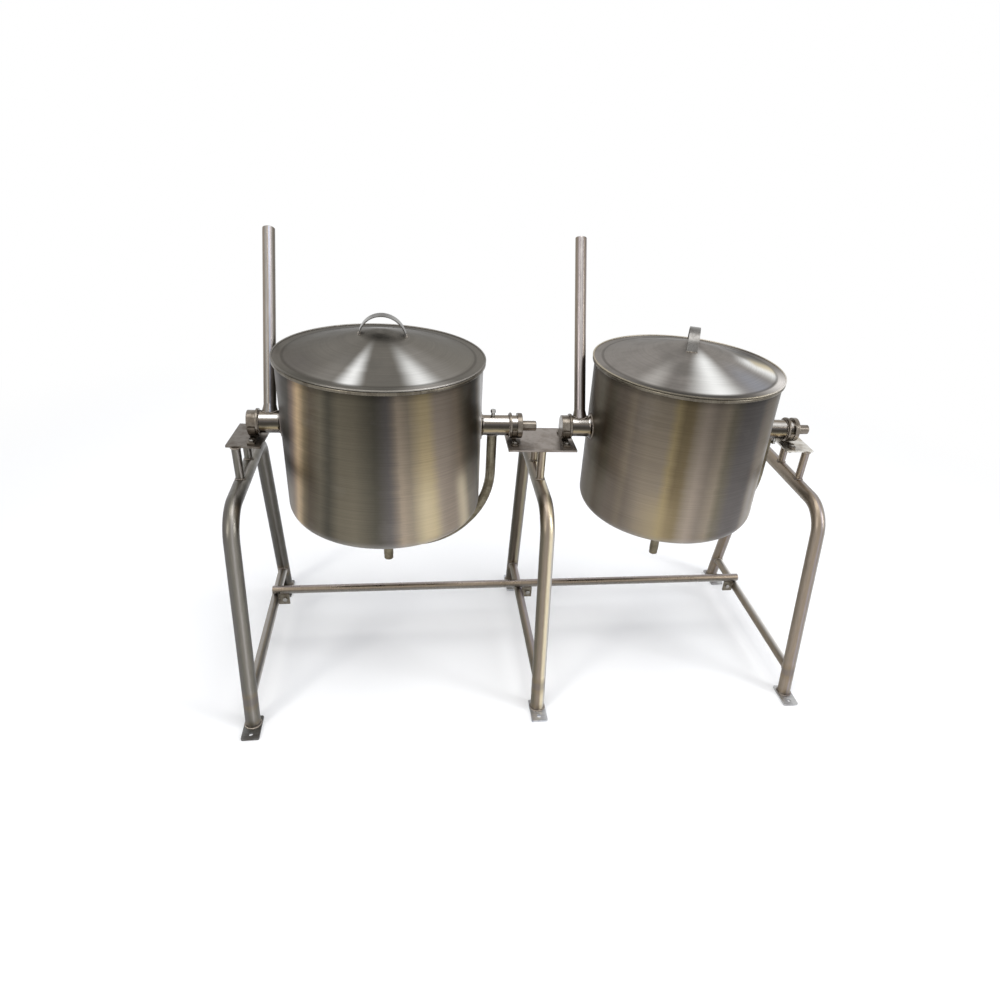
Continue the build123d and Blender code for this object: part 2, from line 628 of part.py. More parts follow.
    # lid: beaded flat brim, straight cone, round nose, short skirt inside the rim
    nose_up = cone_up(lid_nose_r) + lid_nose_r * math.tan(slope / 2)
    arc_r = lid_nose_r / math.sin(slope)
    with BuildPart() as lid:
        with BuildSketch(xz_plane(kx)):
            with BuildLine():
                RadiusArc((0, brim_top + nose_up),
                          (lid_nose_r, brim_top + cone_up(lid_nose_r)), arc_r)
                Polyline(
                    (lid_nose_r, brim_top + cone_up(lid_nose_r)),
                    (cone_r, brim_top),
                    (brim_r - brim_bead_r, brim_top),
                    (brim_r - brim_bead_r, brim_low),
                    (cone_r, brim_low),
                    (skirt_r, brim_low + cone_up(skirt_r)),
                    (skirt_r, brim_low - skirt_drop),
                    (skirt_r - skirt_t, brim_low - skirt_drop),
                    (skirt_r - skirt_t, brim_low + cone_up(skirt_r - skirt_t)),
                    (lid_nose_r, brim_low + cone_up(lid_nose_r)),
                )
                RadiusArc((0, brim_low + nose_up),
                          (lid_nose_r, brim_low + cone_up(lid_nose_r)), arc_r)
                Line((0, brim_low + nose_up), (0, brim_top + nose_up))
            make_face()
            with Locations((brim_r - brim_bead_r, brim_low + brim_bead_r)):
                Circle(brim_bead_r)
        revolve(axis=centre_axis)
    lid.part.label = f"{name}_lid"
    export_step(lid.part, f"parts/{name}_lid.step")

    # lid handle: arched flat strap, its ends trimmed to the cone
    turn_cos, turn_sin = math.cos(math.radians(turn)), math.sin(math.radians(turn))
    strap_plane = Plane(
        origin=(kx + strap_x, trunnion_y, trunnion_z), x_dir=(turn_cos, turn_sin, 0),
        z_dir=(turn_sin, -turn_cos, 0),
    )
    strap_centre = brim_low + strap_centre_up
    with BuildPart() as lid_handle:
        with BuildSketch(strap_plane):
            with Locations((0, strap_centre)):
                Circle(strap_r + strap_t / 2)
                Circle(strap_r - strap_t / 2, mode=Mode.SUBTRACT)
        extrude(amount=strap_w / 2, both=True)
        with BuildSketch(xz_plane(kx)):
            Polygon(
                (0, 0), (cone_r, 0), (cone_r, brim_top), (0, brim_top + lid_rise),
                align=None,
            )
        revolve(axis=centre_axis, mode=Mode.SUBTRACT)
    lid_handle.part.label = f"{name}_lid_handle"
    export_step(lid_handle.part, f"parts/{name}_lid_handle.step")
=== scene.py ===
import json
import math
from collections import namedtuple

import bmesh
import bpy
from mathutils import Matrix, Vector

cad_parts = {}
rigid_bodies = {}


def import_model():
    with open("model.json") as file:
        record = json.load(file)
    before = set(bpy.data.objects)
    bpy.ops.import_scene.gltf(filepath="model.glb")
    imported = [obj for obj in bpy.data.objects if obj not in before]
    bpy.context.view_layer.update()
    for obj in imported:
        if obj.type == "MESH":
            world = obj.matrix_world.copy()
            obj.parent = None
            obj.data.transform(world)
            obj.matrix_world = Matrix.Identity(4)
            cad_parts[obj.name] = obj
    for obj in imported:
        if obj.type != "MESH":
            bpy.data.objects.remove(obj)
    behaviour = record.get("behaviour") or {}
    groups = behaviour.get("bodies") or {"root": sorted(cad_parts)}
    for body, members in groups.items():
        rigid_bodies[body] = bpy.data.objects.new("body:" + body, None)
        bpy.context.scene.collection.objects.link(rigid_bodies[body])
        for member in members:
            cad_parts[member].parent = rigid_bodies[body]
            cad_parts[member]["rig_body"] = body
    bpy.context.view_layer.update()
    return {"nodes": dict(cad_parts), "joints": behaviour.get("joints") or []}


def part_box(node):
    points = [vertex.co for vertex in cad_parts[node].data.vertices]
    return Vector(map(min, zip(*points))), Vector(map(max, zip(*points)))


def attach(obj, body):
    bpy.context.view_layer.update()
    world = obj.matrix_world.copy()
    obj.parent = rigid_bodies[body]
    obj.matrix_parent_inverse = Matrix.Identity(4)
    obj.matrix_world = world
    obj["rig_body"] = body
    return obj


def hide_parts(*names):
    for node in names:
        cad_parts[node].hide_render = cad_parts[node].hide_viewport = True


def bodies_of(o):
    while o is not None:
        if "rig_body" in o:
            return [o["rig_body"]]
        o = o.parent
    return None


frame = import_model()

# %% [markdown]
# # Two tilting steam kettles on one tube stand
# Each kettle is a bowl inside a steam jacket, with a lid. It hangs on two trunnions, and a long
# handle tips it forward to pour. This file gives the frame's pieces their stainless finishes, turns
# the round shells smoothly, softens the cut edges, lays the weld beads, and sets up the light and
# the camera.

nodes = frame["nodes"]
joints = {joint["name"]: joint for joint in frame["joints"]}
SIDES = ("left", "right")
FRAMES = ("left", "middle", "right")
axis_at = {side: Vector(joints[f"{side}_tilt"]["pos_m"]) for side in SIDES}

# %% [markdown]
# ## Camera
# The camera stands a little left of the middle frame and looks down at the lids. The lens shift is
# small: it only slides the picture, and leaves the perspective alone.

# %% Camera
image_px = 1000
focal_px = 718.94
centre_px = (553.17, 534.65)
camera_place = Vector((-0.3353, -1.7620, 1.4977))
yaw, pitch, roll = (math.radians(a) for a in (12.76, 31.38, -5.88))


def camera_axes(yaw, pitch, roll):
    """Right, up and forward directions of a camera with this heading, tilt down and roll."""
    forward = Vector((math.sin(yaw) * math.cos(pitch), math.cos(yaw) * math.cos(pitch),
                      -math.sin(pitch)))
    level = Vector((math.cos(yaw), -math.sin(yaw), 0))
    down = forward.cross(level)
    right = math.cos(roll) * level + math.sin(roll) * down
    up = math.sin(roll) * level - math.cos(roll) * down
    return right, up, forward


right, up, forward = camera_axes(yaw, pitch, roll)
camera_data = bpy.data.cameras.new("camera")
camera_data.sensor_width = 36.0
camera_data.lens = focal_px * camera_data.sensor_width / image_px
camera_data.shift_x = (image_px / 2 - centre_px[0]) / image_px
camera_data.shift_y = (centre_px[1] - image_px / 2) / image_px
camera_data.clip_end = 200
camera = bpy.data.objects.new("camera", camera_data)
camera.matrix_world = Matrix.Translation(camera_place) @ Matrix(
    (right, up, -forward)).transposed().to_4x4()
bpy.context.scene.collection.objects.link(camera)
bpy.context.scene.camera = camera
print("lens", round(camera_data.lens, 2), "mm")

# %% [markdown]
# ## Shader helpers
# A finish is a small network of nodes. These helpers keep each network short to read.

# %% Shader helpers
# net.new(type) adds a node to a tree, and net.link(output, input) joins two sockets
Net = namedtuple("Net", "new link")


def net_of(tree):
    """The net of a node tree."""
    return Net(tree.nodes.new, tree.links.new)


def new_material(name):
    """An empty node material and its net."""
    material = bpy.data.materials.new(name)
    material.use_nodes = True
    material.node_tree.nodes.clear()
    return material, net_of(material.node_tree)


def preset(node, settings):
    """Sets sockets of a node to plain values, by name."""
    for name, value in settings.items():
        node.inputs[name].default_value = value


def put(net, value, socket):
    """Feeds a socket from another socket, or sets it to a plain value."""
    if isinstance(value, bpy.types.NodeSocket):
        net.link(value, socket)
    else:
        socket.default_value = value


def maths(net, operation, *values):
    """One Math node. Its inputs are sockets or plain numbers."""
    node = net.new("ShaderNodeMath")
    node.operation = operation
    for value, socket in zip(values, node.inputs):
        put(net, value, socket)
    return node.outputs[0]


def spread(net, value, low, high, to_low=0.0, to_high=1.0):
    """Maps low..high smoothly to to_low..to_high, and holds outside."""
    node = net.new("ShaderNodeMapRange")
    node.interpolation_type = "SMOOTHSTEP"
    for socket, setting in zip(node.inputs, (value, low, high, to_low, to_high)):
        put(net, setting, socket)
    return node.outputs["Result"]


def times(net, first, second):
    """The product of two values."""
    return maths(net, "MULTIPLY", first, second)


def distance(net, value, place):
    """How far a value is from a place, either way."""
    return maths(net, "ABSOLUTE", maths(net, "SUBTRACT", value, place))


def radius_of(net, x, y):
    """Distance from an upright axis."""
    return maths(net, "SQRT", maths(net, "ADD", times(net, x, x),
                                        times(net, y, y)))


# a Mix node has sockets for each kind of data, and these are the places of its colour ones
MIX_AMOUNT, MIX_FIRST, MIX_SECOND, MIX_RESULT = 0, 6, 7, 2


def blend_colour(net, amount, first, second, mode="MIX"):
    """Mixes two colours, or colour sockets, by an amount."""
    node = net.new("ShaderNodeMix")
    node.data_type = "RGBA"
    node.blend_type = mode
    for value, place in ((amount, MIX_AMOUNT), (first, MIX_FIRST), (second, MIX_SECOND)):
        put(net, value, node.inputs[place])
    return node.outputs[MIX_RESULT]


def shaded(net, colour, value):
    """A colour made darker or lighter by a value."""
    grey = net.new("ShaderNodeCombineColor")
    for socket in grey.inputs[:3]:
        net.link(value, socket)
    return blend_colour(net, 1.0, colour, grey.outputs[0], "MULTIPLY")


def seen_directly(net):
    """1 for camera, glossy and transmission rays, and 0 for the rays that light things."""
    path = net.new("ShaderNodeLightPath")
    both = maths(net, "MAXIMUM", path.outputs["Is Camera Ray"],
                 path.outputs["Is Glossy Ray"])
    return maths(net, "MAXIMUM", both, path.outputs["Is Transmission Ray"])


def tone(red, green, blue):
    """A colour written as 0 to 255 screen values, as Blender's linear colour."""
    def linear(value):
        v = value / 255
        return v / 12.92 if v <= 0.04045 else ((v + 0.055) / 1.055) ** 2.4
    return (linear(red), linear(green), linear(blue), 1)


# %% [markdown]
# ## World, floor and lamps
# A white background comes from colour, not from more light. The world and the far floor are plain
# white to the rays that look at them, and softer to the rays that light the object. Near the object
# the floor is an ordinary pale surface, so it keeps a soft shadow.

# %% World
bpy.context.scene.view_settings.view_transform = "Standard"
world = bpy.data.worlds.new("studio")
bpy.context.scene.world = world
world.use_nodes = True
world.node_tree.nodes.clear()
w_net = net_of(world.node_tree)
w_out = w_net.new("ShaderNodeOutputWorld")
w_mix = w_net.new("ShaderNodeMixShader")
w_light, w_seen = (w_net.new("ShaderNodeBackground") for _ in range(2))
preset(w_light, {"Color": (0.93, 0.95, 1.0, 1), "Strength": 0.72})
preset(w_seen, {"Color": (1, 1, 1, 1), "Strength": 1.0})
w_net.link(seen_directly(w_net), w_mix.inputs["Fac"])
w_net.link(w_light.outputs[0], w_mix.inputs[1])
w_net.link(w_seen.outputs[0], w_mix.inputs[2])
w_net.link(w_mix.outputs[0], w_out.inputs["Surface"])

# %% Floor
floor_half = 30.0
near_radius, far_radius = 1.5, 3.2
floor_mesh = bpy.data.meshes.new("floor")
floor_mesh.from_pydata(
    [(-floor_half, -floor_half, 0), (floor_half, -floor_half, 0),
     (floor_half, floor_half, 0), (-floor_half, floor_half, 0)], [], [(0, 1, 2, 3)])
floor = bpy.data.objects.new("floor", floor_mesh)
bpy.context.scene.collection.objects.link(floor)


def floor_material():
    """Pale and matt near the object, fading with distance to the plain white of the world."""
    material, net = new_material("pale_floor")
    out = net.new("ShaderNodeOutputMaterial")
    near = net.new("ShaderNodeBsdfPrincipled")
    preset(near, {"Base Color": (0.98, 0.98, 0.975, 1), "Roughness": 0.85,
                  "Specular IOR Level": 0.1})
    far = net.new("ShaderNodeEmission")
    place = net.new("ShaderNodeTexCoord")
    length = net.new("ShaderNodeVectorMath")
    length.operation = "LENGTH"
    net.link(place.outputs["Object"], length.inputs[0])
    fade = spread(net, length.outputs["Value"], near_radius, far_radius)
    amount = times(net, fade, seen_directly(net))
    mix = net.new("ShaderNodeMixShader")
    net.link(amount, mix.inputs["Fac"])
    net.link(near.outputs[0], mix.inputs[1])
    net.link(far.outputs[0], mix.inputs[2])
    net.link(mix.outputs[0], out.inputs["Surface"])
    return material


floor_mesh.materials.append(floor_material())

# %% Lamps
def soft_lamp(name, place, target, size, power, colour=(1, 1, 1), shines=True):
    """A rectangular area lamp at place that shines at target."""
    data = bpy.data.lights.new(name, "AREA")
    data.shape = "RECTANGLE"
    data.size, data.size_y = size
    data.energy = power
    data.color = colour
    lamp = bpy.data.objects.new(name, data)
    lamp.location = place
    aim = Vector(target) - Vector(place)
    lamp.rotation_euler = aim.to_track_quat("-Z", "Y").to_euler()
    lamp.visible_glossy = shines
    bpy.context.scene.collection.objects.link(lamp)


soft_lamp("overhead", (0.0, -0.4, 3.2), (0, 0, 0.6), (2.6, 1.6), 36)
soft_lamp("window_left", (-2.6, -2.4, 2.2), (-0.2, 0, 0.7), (0.7, 1.8), 30, (1.0, 0.97, 0.92))
soft_lamp("window_right", (2.8, -1.6, 2.0), (0.3, 0, 0.7), (0.8, 1.8), 34, (0.96, 0.97, 1.0))
soft_lamp("behind", (0.2, 2.8, 2.4), (0, 0, 0.7), (2.2, 1.0), 24, shines=False)

# %% [markdown]
# ## Grain of turned and drawn steel
# A spun or linished kettle has very fine lines that run round it, on the wall, on the cone and on
# the flat brim alike. Stretched noise gives this if it changes fast along the radius and the
# height, and slowly round the circle. Bars and tubes have the same lines along their length. Each
# grain is one node group, so every finish uses the same one with its own scale.

# %% Grain groups
SOCKET = "NodeSocket"


def group_tree(name, inputs, outputs):
    """A shader node group with these named sockets, and its group input and output nodes."""
    tree = bpy.data.node_groups.new(name, "ShaderNodeTree")
    for socket, kind, value in inputs:
        item = tree.interface.new_socket(socket, in_out="INPUT", socket_type=SOCKET + kind)
        if value is not None:
            item.default_value = value
    for socket in outputs:
        tree.interface.new_socket(socket, in_out="OUTPUT", socket_type=SOCKET + "Float")
    return tree, tree.nodes.new("NodeGroupInput"), tree.nodes.new("NodeGroupOutput")


def noise(net, vector, scale, detail=3.0, roughness=0.55):
    """Plain noise of a vector, 0 to 1 about 0.5."""
    node = net.new("ShaderNodeTexNoise")
    net.link(vector, node.inputs["Vector"])
    put(net, scale, node.inputs["Scale"])
    preset(node, {"Detail": detail, "Roughness": roughness})
    return node.outputs["Fac"]


def turned_grain_group():
    """Grain round an upright axis. The vector is measured from that axis."""
    tree, start, end = group_tree(
        "turned_grain",
        [("Vector", "Vector", None), ("Lines per metre", "Float", 700.0),
         ("Round", "Float", 6.0)], ["Grain", "Broad", "Smudge"])
    net = net_of(tree)
    parts = net.new("ShaderNodeSeparateXYZ")
    net.link(start.outputs["Vector"], parts.inputs[0])
    x, y, z = parts.outputs
    radius = radius_of(net, x, y)
    along = maths(net, "ADD", radius, z)
    for output, share, detail in (("Grain", 1.0, 4.0), ("Broad", 0.16, 2.0)):
        stretched = net.new("ShaderNodeCombineXYZ")
        round_scale = times(net, start.outputs["Round"], share ** 0.5)
        line_scale = times(net, start.outputs["Lines per metre"], share)
        net.link(times(net, x, round_scale), stretched.inputs[0])
        net.link(times(net, y, round_scale), stretched.inputs[1])
        net.link(times(net, along, line_scale), stretched.inputs[2])
        net.link(noise(net, stretched.outputs[0], 1.0, detail), end.inputs[output])
    net.link(noise(net, start.outputs["Vector"], 9.0, 4.0, 0.6), end.inputs["Smudge"])
    return tree


def drawn_grain_group():
    """Grain along one axis: Scale is large across the grain and small along it."""
    tree, start, end = group_tree(
        "drawn_grain",
        [("Vector", "Vector", None), ("Scale", "Vector", (900, 900, 30))], ["Grain", "Smudge"])
    net = net_of(tree)
    stretched = net.new("ShaderNodeVectorMath")
    stretched.operation = "MULTIPLY"
    net.link(start.outputs["Vector"], stretched.inputs[0])
    net.link(start.outputs["Scale"], stretched.inputs[1])
    net.link(noise(net, stretched.outputs[0], 1.0, 4.0), end.inputs["Grain"])
    net.link(noise(net, start.outputs["Vector"], 28.0, 4.0, 0.65), end.inputs["Smudge"])
    return tree


TURNED, DRAWN = turned_grain_group(), drawn_grain_group()


def use_group(net, tree, vector, **settings):
    """Places a group, feeds its vector, and sets its other inputs by name."""
    node = net.new("ShaderNodeGroup")
    node.node_tree = tree
    net.link(vector, node.inputs["Vector"])
    for name, value in settings.items():
        put(net, value, node.inputs[name.replace("_", " ")])
    return node.outputs


print("groups", TURNED.name, DRAWN.name)

# %% [markdown]
# ## Shading round a bar or a vessel
# Polished steel shows the room as bands that run along a tube or down a wall: a light stripe from a
# window, then a dark one beside it. This white studio has little to reflect, so the bands are
# painted, as base colour: each finish names them in order, and a colour ramp fades from one to the
# next. They suit the main view only, look plain from behind, and turn with a tilted kettle. Lit
# panels and dark flags round the object would be the sounder way.

# %% Palette and band ramp
PALETTE = {name: tone(*rgb) for name, rgb in {
    # the darkest tone below serves only painted shade and dark painted reflections
    "soot": (64, 60, 54), "moss": (73, 70, 62),
    "oak": (84, 74, 61), "umber": (106, 94, 72), "khaki": (100, 94, 81),
    "iron": (108, 105, 97), "lead": (122, 118, 110),
    "slate": (88, 84, 82), "ash": (100, 97, 92), "stone": (114, 105, 95),
    "rose": (116, 101, 91), "dun": (125, 115, 101), "plum": (137, 126, 114),
    "lilac": (152, 144, 144), "olive": (136, 122, 92), "sand": (144, 131, 115),
    "straw": (158, 143, 112), "buff": (184, 160, 127), "pewter": (152, 148, 143),
    "silver": (190, 186, 181), "light": (222, 218, 214), "mist": (244, 244, 242),
    "cream": (216, 204, 176), "steel blue": (146, 151, 164),
}.items()}


def band_ramp(net, position, bands):
    """Colour by position 0 to 1. Bands are (position, palette name)."""
    ramp = net.new("ShaderNodeValToRGB")
    net.link(position, ramp.inputs["Fac"])
    stops = ramp.color_ramp.elements
    for index, (place, name) in enumerate(bands):
        stop = stops[index] if index < 2 else stops.new(place)
        stop.position = place
        stop.color = PALETTE[name]
    return ramp.outputs["Color"]


def angle_position(net, first, second, zero_deg):
    """Angle of (first, second) as 0 to 1, with zero_deg at 0.5."""
    angle = maths(net, "ARCTAN2", second, first)
    turns = maths(net, "MULTIPLY_ADD", angle, 1 / (2 * math.pi),
                  0.5 - zero_deg / 360)
    return maths(net, "FRACT", turns)


def centred(net, place):
    """Object coordinates measured from place, as a vector and its three parts."""
    coordinates = net.new("ShaderNodeTexCoord")
    mapping = net.new("ShaderNodeMapping")
    mapping.inputs["Location"].default_value = -Vector(place)
    net.link(coordinates.outputs["Object"], mapping.inputs["Vector"])
    parts = net.new("ShaderNodeSeparateXYZ")
    net.link(mapping.outputs[0], parts.inputs[0])
    return mapping.outputs[0], parts.outputs


def steel(net, colour, roughness, height=None, anisotropic=0.0, bump=0.1, edge=1.0):
    """The metal itself, joined to the output. Only colour, roughness and normal are fed."""
    out = net.new("ShaderNodeOutputMaterial")
    shader = net.new("ShaderNodeBsdfPrincipled")
    put(net, colour, shader.inputs["Base Color"])
    put(net, roughness, shader.inputs["Roughness"])
    preset(shader, {"Metallic": 1.0, "Anisotropic": anisotropic,
                    "Specular Tint": (edge, edge, edge, 1)})
    if height is not None:
        dent = net.new("ShaderNodeBump")
        preset(dent, {"Strength": bump, "Distance": 0.0004})
        net.link(height, dent.inputs["Height"])
        net.link(dent.outputs[0], shader.inputs["Normal"])
    net.link(shader.outputs[0], out.inputs["Surface"])


# %% [markdown]
# ## Kettle wall
# The jacket is linished round and round, then polished. Its bands are painted, and centred on the
# side that the main camera sees. Fine lines blur a real reflection, so the grain shifts the painted
# bands a little sideways. They don't meet cleanly at the back.

# %% Kettle walls
# side: (azimuth in the middle of the main view, spread of the bands with height, and the painted
# bands by angle from there)
WALL_BANDS = {
    "left": (-87.6, 0.62, (
        (-180, "pewter"), (-88, "ash"), (-75, "slate"), (-68, "soot"), (-62, "soot"),
        (-57, "rose"), (-51.5, "buff"), (-46, "umber"), (-42, "oak"),
        (-35, "khaki"), (-30, "moss"), (-24, "khaki"), (-16, "khaki"), (-5, "moss"),
        (2, "slate"), (5, "stone"), (7.5, "sand"), (12.5, "dun"), (20, "straw"),
        (24, "straw"), (29, "plum"), (39, "plum"), (44, "sand"), (48, "dun"), (52.5, "khaki"),
        (57, "oak"), (64, "moss"), (67, "dun"), (71, "silver"), (75, "mist"), (90, "pewter"))),
    "right": (-112.1, 0.15, (
        (-180, "pewter"), (-84, "slate"), (-75, "moss"), (-66, "oak"), (-53, "khaki"),
        (-46, "oak"), (-41, "khaki"), (-37, "stone"), (-31, "stone"),
        (-26, "dun"), (-23, "stone"), (-14, "dun"), (-4, "dun"), (0, "olive"),
        (4, "umber"), (8, "umber"), (12, "dun"), (16, "plum"), (22, "stone"), (28, "dun"),
        (32, "khaki"), (40, "slate"), (53, "slate"), (58, "stone"), (66, "dun"),
        (76, "pewter"))),
}


# side: painted reflection patches of (angle, half width, height where it starts and is full,
# palette name, strength)
WALL_PATCHES = {
    "left": ((44, 3.5, (-0.03, -0.10), "cream", 0.6), (21, 6, (0.02, -0.14), "cream", 0.35),
             (-60, 6, (-0.08, -0.14), "dun", 0.6)),
    "right": ((62, 4, (0.0, -0.06), "pewter", 0.7), (-2, 8, (-0.06, -0.16), "straw", 0.6),
              (-38, 10, (-0.08, -0.15), "stone", 0.4)),
}


# heights on the wall in metres from the trunnion axis: the shading's ends, the shadow under the
# rim, and the knuckle's light and dark edges
SHADE_TOP, SHADE_LOW = 0.18, -0.21
RIM_SHADOW = (0.172, 0.150)
KNUCKLE_START, KNUCKLE_END, WALL_END = (-0.206, -0.226), (-0.250, -0.232), (-0.228, -0.245)
# degrees from the middle of the main view where that shading fades in and out
FACING_IN, FACING_OUT = (-45, 0), (150, 95)


def wall_material(side):
    """Kettle wall: painted reflection bands by the angle round the kettle, barely blurred
    sideways by the grain, with painted shade, a painted knuckle highlight and painted patches.
    """
    material, net = new_material(f"{side}_kettle_wall")
    vector, (x, y, z) = centred(net, axis_at[side])
    grain = use_group(net, TURNED, vector, Lines_per_metre=420.0, Round=4.0)
    zero, opening, bands = WALL_BANDS[side]
    angle = maths(net, "SUBTRACT", angle_position(net, x, y, zero), 0.5)
    angle = times(net, angle, maths(net, "MULTIPLY_ADD", z, opening, 0.98))
    shift = maths(net, "MULTIPLY_ADD", grain["Broad"], 0.007, 0.4965)
    colour = band_ramp(net, maths(net, "ADD", angle, shift),
                       [((a + 180) / 360, name) for a, name in bands])
    # painted shade: darker towards the top, lighter low down, on part of the side seen in the main
    # view
    shade = spread(net, z, SHADE_TOP, SHADE_LOW, 0.60, 1.34)
    facing = times(net, *(spread(net, angle, start / 360, end / 360)
                              for start, end in (FACING_IN, FACING_OUT)))
    shade = times(net, maths(net, "SUBTRACT", shade, 1.0), facing)
    shade = maths(net, "ADD", shade, 1.0)
    lines = spread(net, grain["Grain"], 0.3, 0.7, 0.9, 1.07)
    lit = times(net, shade, lines)
    # painted shadow under the rim, then painted shade at the bottom edge of the wall
    under_rim = spread(net, z, *RIM_SHADOW, 0.62, 1.0)
    lit = times(net, lit, under_rim)
    lit = times(net, lit, spread(net, z, *WALL_END, 1.0, 0.5))
    colour = shaded(net, colour, lit)
    # a painted highlight along the knuckle
    knuckle = times(net, spread(net, z, *KNUCKLE_START),
                    spread(net, z, *KNUCKLE_END))
    colour = blend_colour(net, times(net, knuckle, 0.2), colour,
                          PALETTE["silver"])
    # painted reflection patches
    for centre_deg, half_deg, (start, full), name, strength in WALL_PATCHES[side]:
        off = distance(net, angle, centre_deg / 360)
        patch = times(net, spread(net, off, 2 * half_deg / 360, 0.0, 0.0, strength),
                      spread(net, z, start, full))
        colour = blend_colour(net, patch, colour, PALETTE[name])
    haze = spread(net, grain["Smudge"], 0.55, 0.75, 0.0, 0.10)
    colour = blend_colour(net, haze, colour, PALETTE["pewter"])
    rough = spread(net, grain["Smudge"], 0.35, 0.7, 0.38, 0.46)
    steel(net, colour, rough, grain["Grain"], anisotropic=0.6, bump=0.03)
    return material


wall_finish = {side: wall_material(side) for side in SIDES}

# %% [markdown]
# ## Lids
# A lid is spun from thinner sheet and brushed dull. Under a lamp it shows soft bright fans that run
# from the knob down to the brim, where the turned lines face the light. They are painted
# highlights, a mask of the angle round the lid, and darker painted reflections are patched in by
# angle too. The brim has painted highlights and shade, the bead a painted highlight and the crease
# a painted shadow. Hands and steam leave it a little cloudy, at random all over.

# %% Lid finish
# side: painted highlights and darker painted reflections, as patches of (angle, half width, where
# it starts and is full, palette name, strength)
LID_PATCHES = {
    "left": ((-107, 5.0, (0.04, 0.19), "mist", 1.0), (-63, 7.5, (0.05, 0.2), "mist", 1.0),
             (-48, 12, (0.05, 0.12), "pewter", 0.5), (-120, 9, (0.08, 0.2), "pewter", 0.3),
             (0, 40, (0.02, 0.2), "lead", 0.35), (-150, 14, (0.15, 0.2), "slate", 0.4),
             (100, 60, (0.03, 0.12), "soot", 0.4)),
    "right": ((-134, 6.5, (0.08, 0.2), "silver", 0.6), (-90, 12, (0.02, 0.1), "mist", 1.0),
              (-120, 5, (0.08, 0.2), "slate", 0.2), (-55, 12, (0.08, 0.2), "steel blue", 0.5),
              (-17, 12, (0.10, 0.16), "mist", 1.0), (-6, 9, (0.15, 0.18), "cream", 1.0),
              (20, 12, (0.10, 0.17), "soot", 0.95), (3, 7, (0.12, 0.14), "khaki", 0.5),
              (75, 30, (0.0, 0.04), "ash", 0.3)),
}
# side: painted highlights and painted shade on the flat brim, by angle
BRIM_PATCHES = {
    "left": ((-132, 14, "moss", 0.7), (-63, 10, "silver", 0.6), (-92, 12, "iron", 0.4)),
    "right": ((-112, 34, "soot", 0.85), (-84, 12, "soot", 0.6), (-34, 18, "light", 0.9),
              (26, 10, "slate", 0.7), (75, 40, "pewter", 0.4)),
}
LID_GREY = {"left": tone(112, 108, 101), "right": tone(137, 132, 127)}
# side: the painted highlight along the rolled bead, as palette name and strength
LID_BEAD = {"left": ("pewter", 0.45), "right": ("cream", 0.45)}


def fan_mask(net, x, y, centre_deg, half_deg, strength, blur=0.0):
    """A soft mask round an angle, twice as wide as half_deg on each side."""
    off = distance(net, angle_position(net, x, y, centre_deg), 0.5)
    if blur != 0.0:
        off = maths(net, "ADD", off, blur)
    return spread(net, off, 2 * half_deg / 360, 0.0, 0.0, strength)


def lid_material(side):
    """Lid: turned grain, painted highlight fans and darker painted reflections by angle, painted
    highlights and shade on the brim, a painted bead highlight and a painted crease shadow.
    """
    material, net = new_material(f"{side}_lid_sheet")
    vector, (x, y, z) = centred(net, axis_at[side])
    grain = use_group(net, TURNED, vector, Lines_per_metre=520.0, Round=5.0)
    radius = radius_of(net, x, y)
    cloud = spread(net, grain["Smudge"], 0.42, 0.68, 0.0, 0.5)
    colour = blend_colour(net, cloud, LID_GREY[side], PALETTE["ash"])
    on_cone = spread(net, radius, 0.236, 0.226)
    # painted highlight fans and darker painted reflections on the cone
    for centre_deg, half_deg, (start, full), name, strength in LID_PATCHES[side]:
        blur = maths(net, "MULTIPLY_ADD", grain["Broad"], 0.006, -0.003)
        fan = fan_mask(net, x, y, centre_deg, half_deg, strength, blur)
        reach = times(net, on_cone, spread(net, radius, start, full))
        colour = blend_colour(net, times(net, fan, reach), colour,
                              PALETTE[name])
    # a painted highlight along the rolled bead
    name, strength = LID_BEAD[side]
    bead_highlight = spread(net, radius, 0.2505, 0.2535, 0.0, strength)
    colour = blend_colour(net, bead_highlight, colour, PALETTE[name])
    # painted highlights and painted shade on the flat brim
    on_brim = spread(net, radius, 0.229, 0.236)
    for centre_deg, half_deg, name, strength in BRIM_PATCHES[side]:
        fan = fan_mask(net, x, y, centre_deg, half_deg, strength)
        colour = blend_colour(net, times(net, fan, on_brim), colour,
                              PALETTE[name])
    # a painted shadow in the crease between the cone and the brim
    crease = times(net, spread(net, radius, 0.224, 0.229),
                   spread(net, radius, 0.236, 0.231))
    colour = blend_colour(net, times(net, crease, 0.45), colour,
                          PALETTE["soot"])
    lines = spread(net, grain["Grain"], 0.3, 0.7, 0.91, 1.05)
    colour = shaded(net, colour, lines)
    rough = spread(net, grain["Smudge"], 0.35, 0.7, 0.33, 0.42)
    steel(net, colour, rough, grain["Grain"], anisotropic=0.7, bump=0.04, edge=0.62)
    return material


lid_finish = {side: lid_material(side) for side in SIDES}

# %% [markdown]
# ## Bars and tubes
# Trunnions, handles, legs, spreaders and the cross tube are round bars with painted bands. A bar
# that stands up is banded from its left edge to its right edge, so the bands are the same in front
# and behind. A bar that lies along the trunnions is banded by the angle round its own axis.

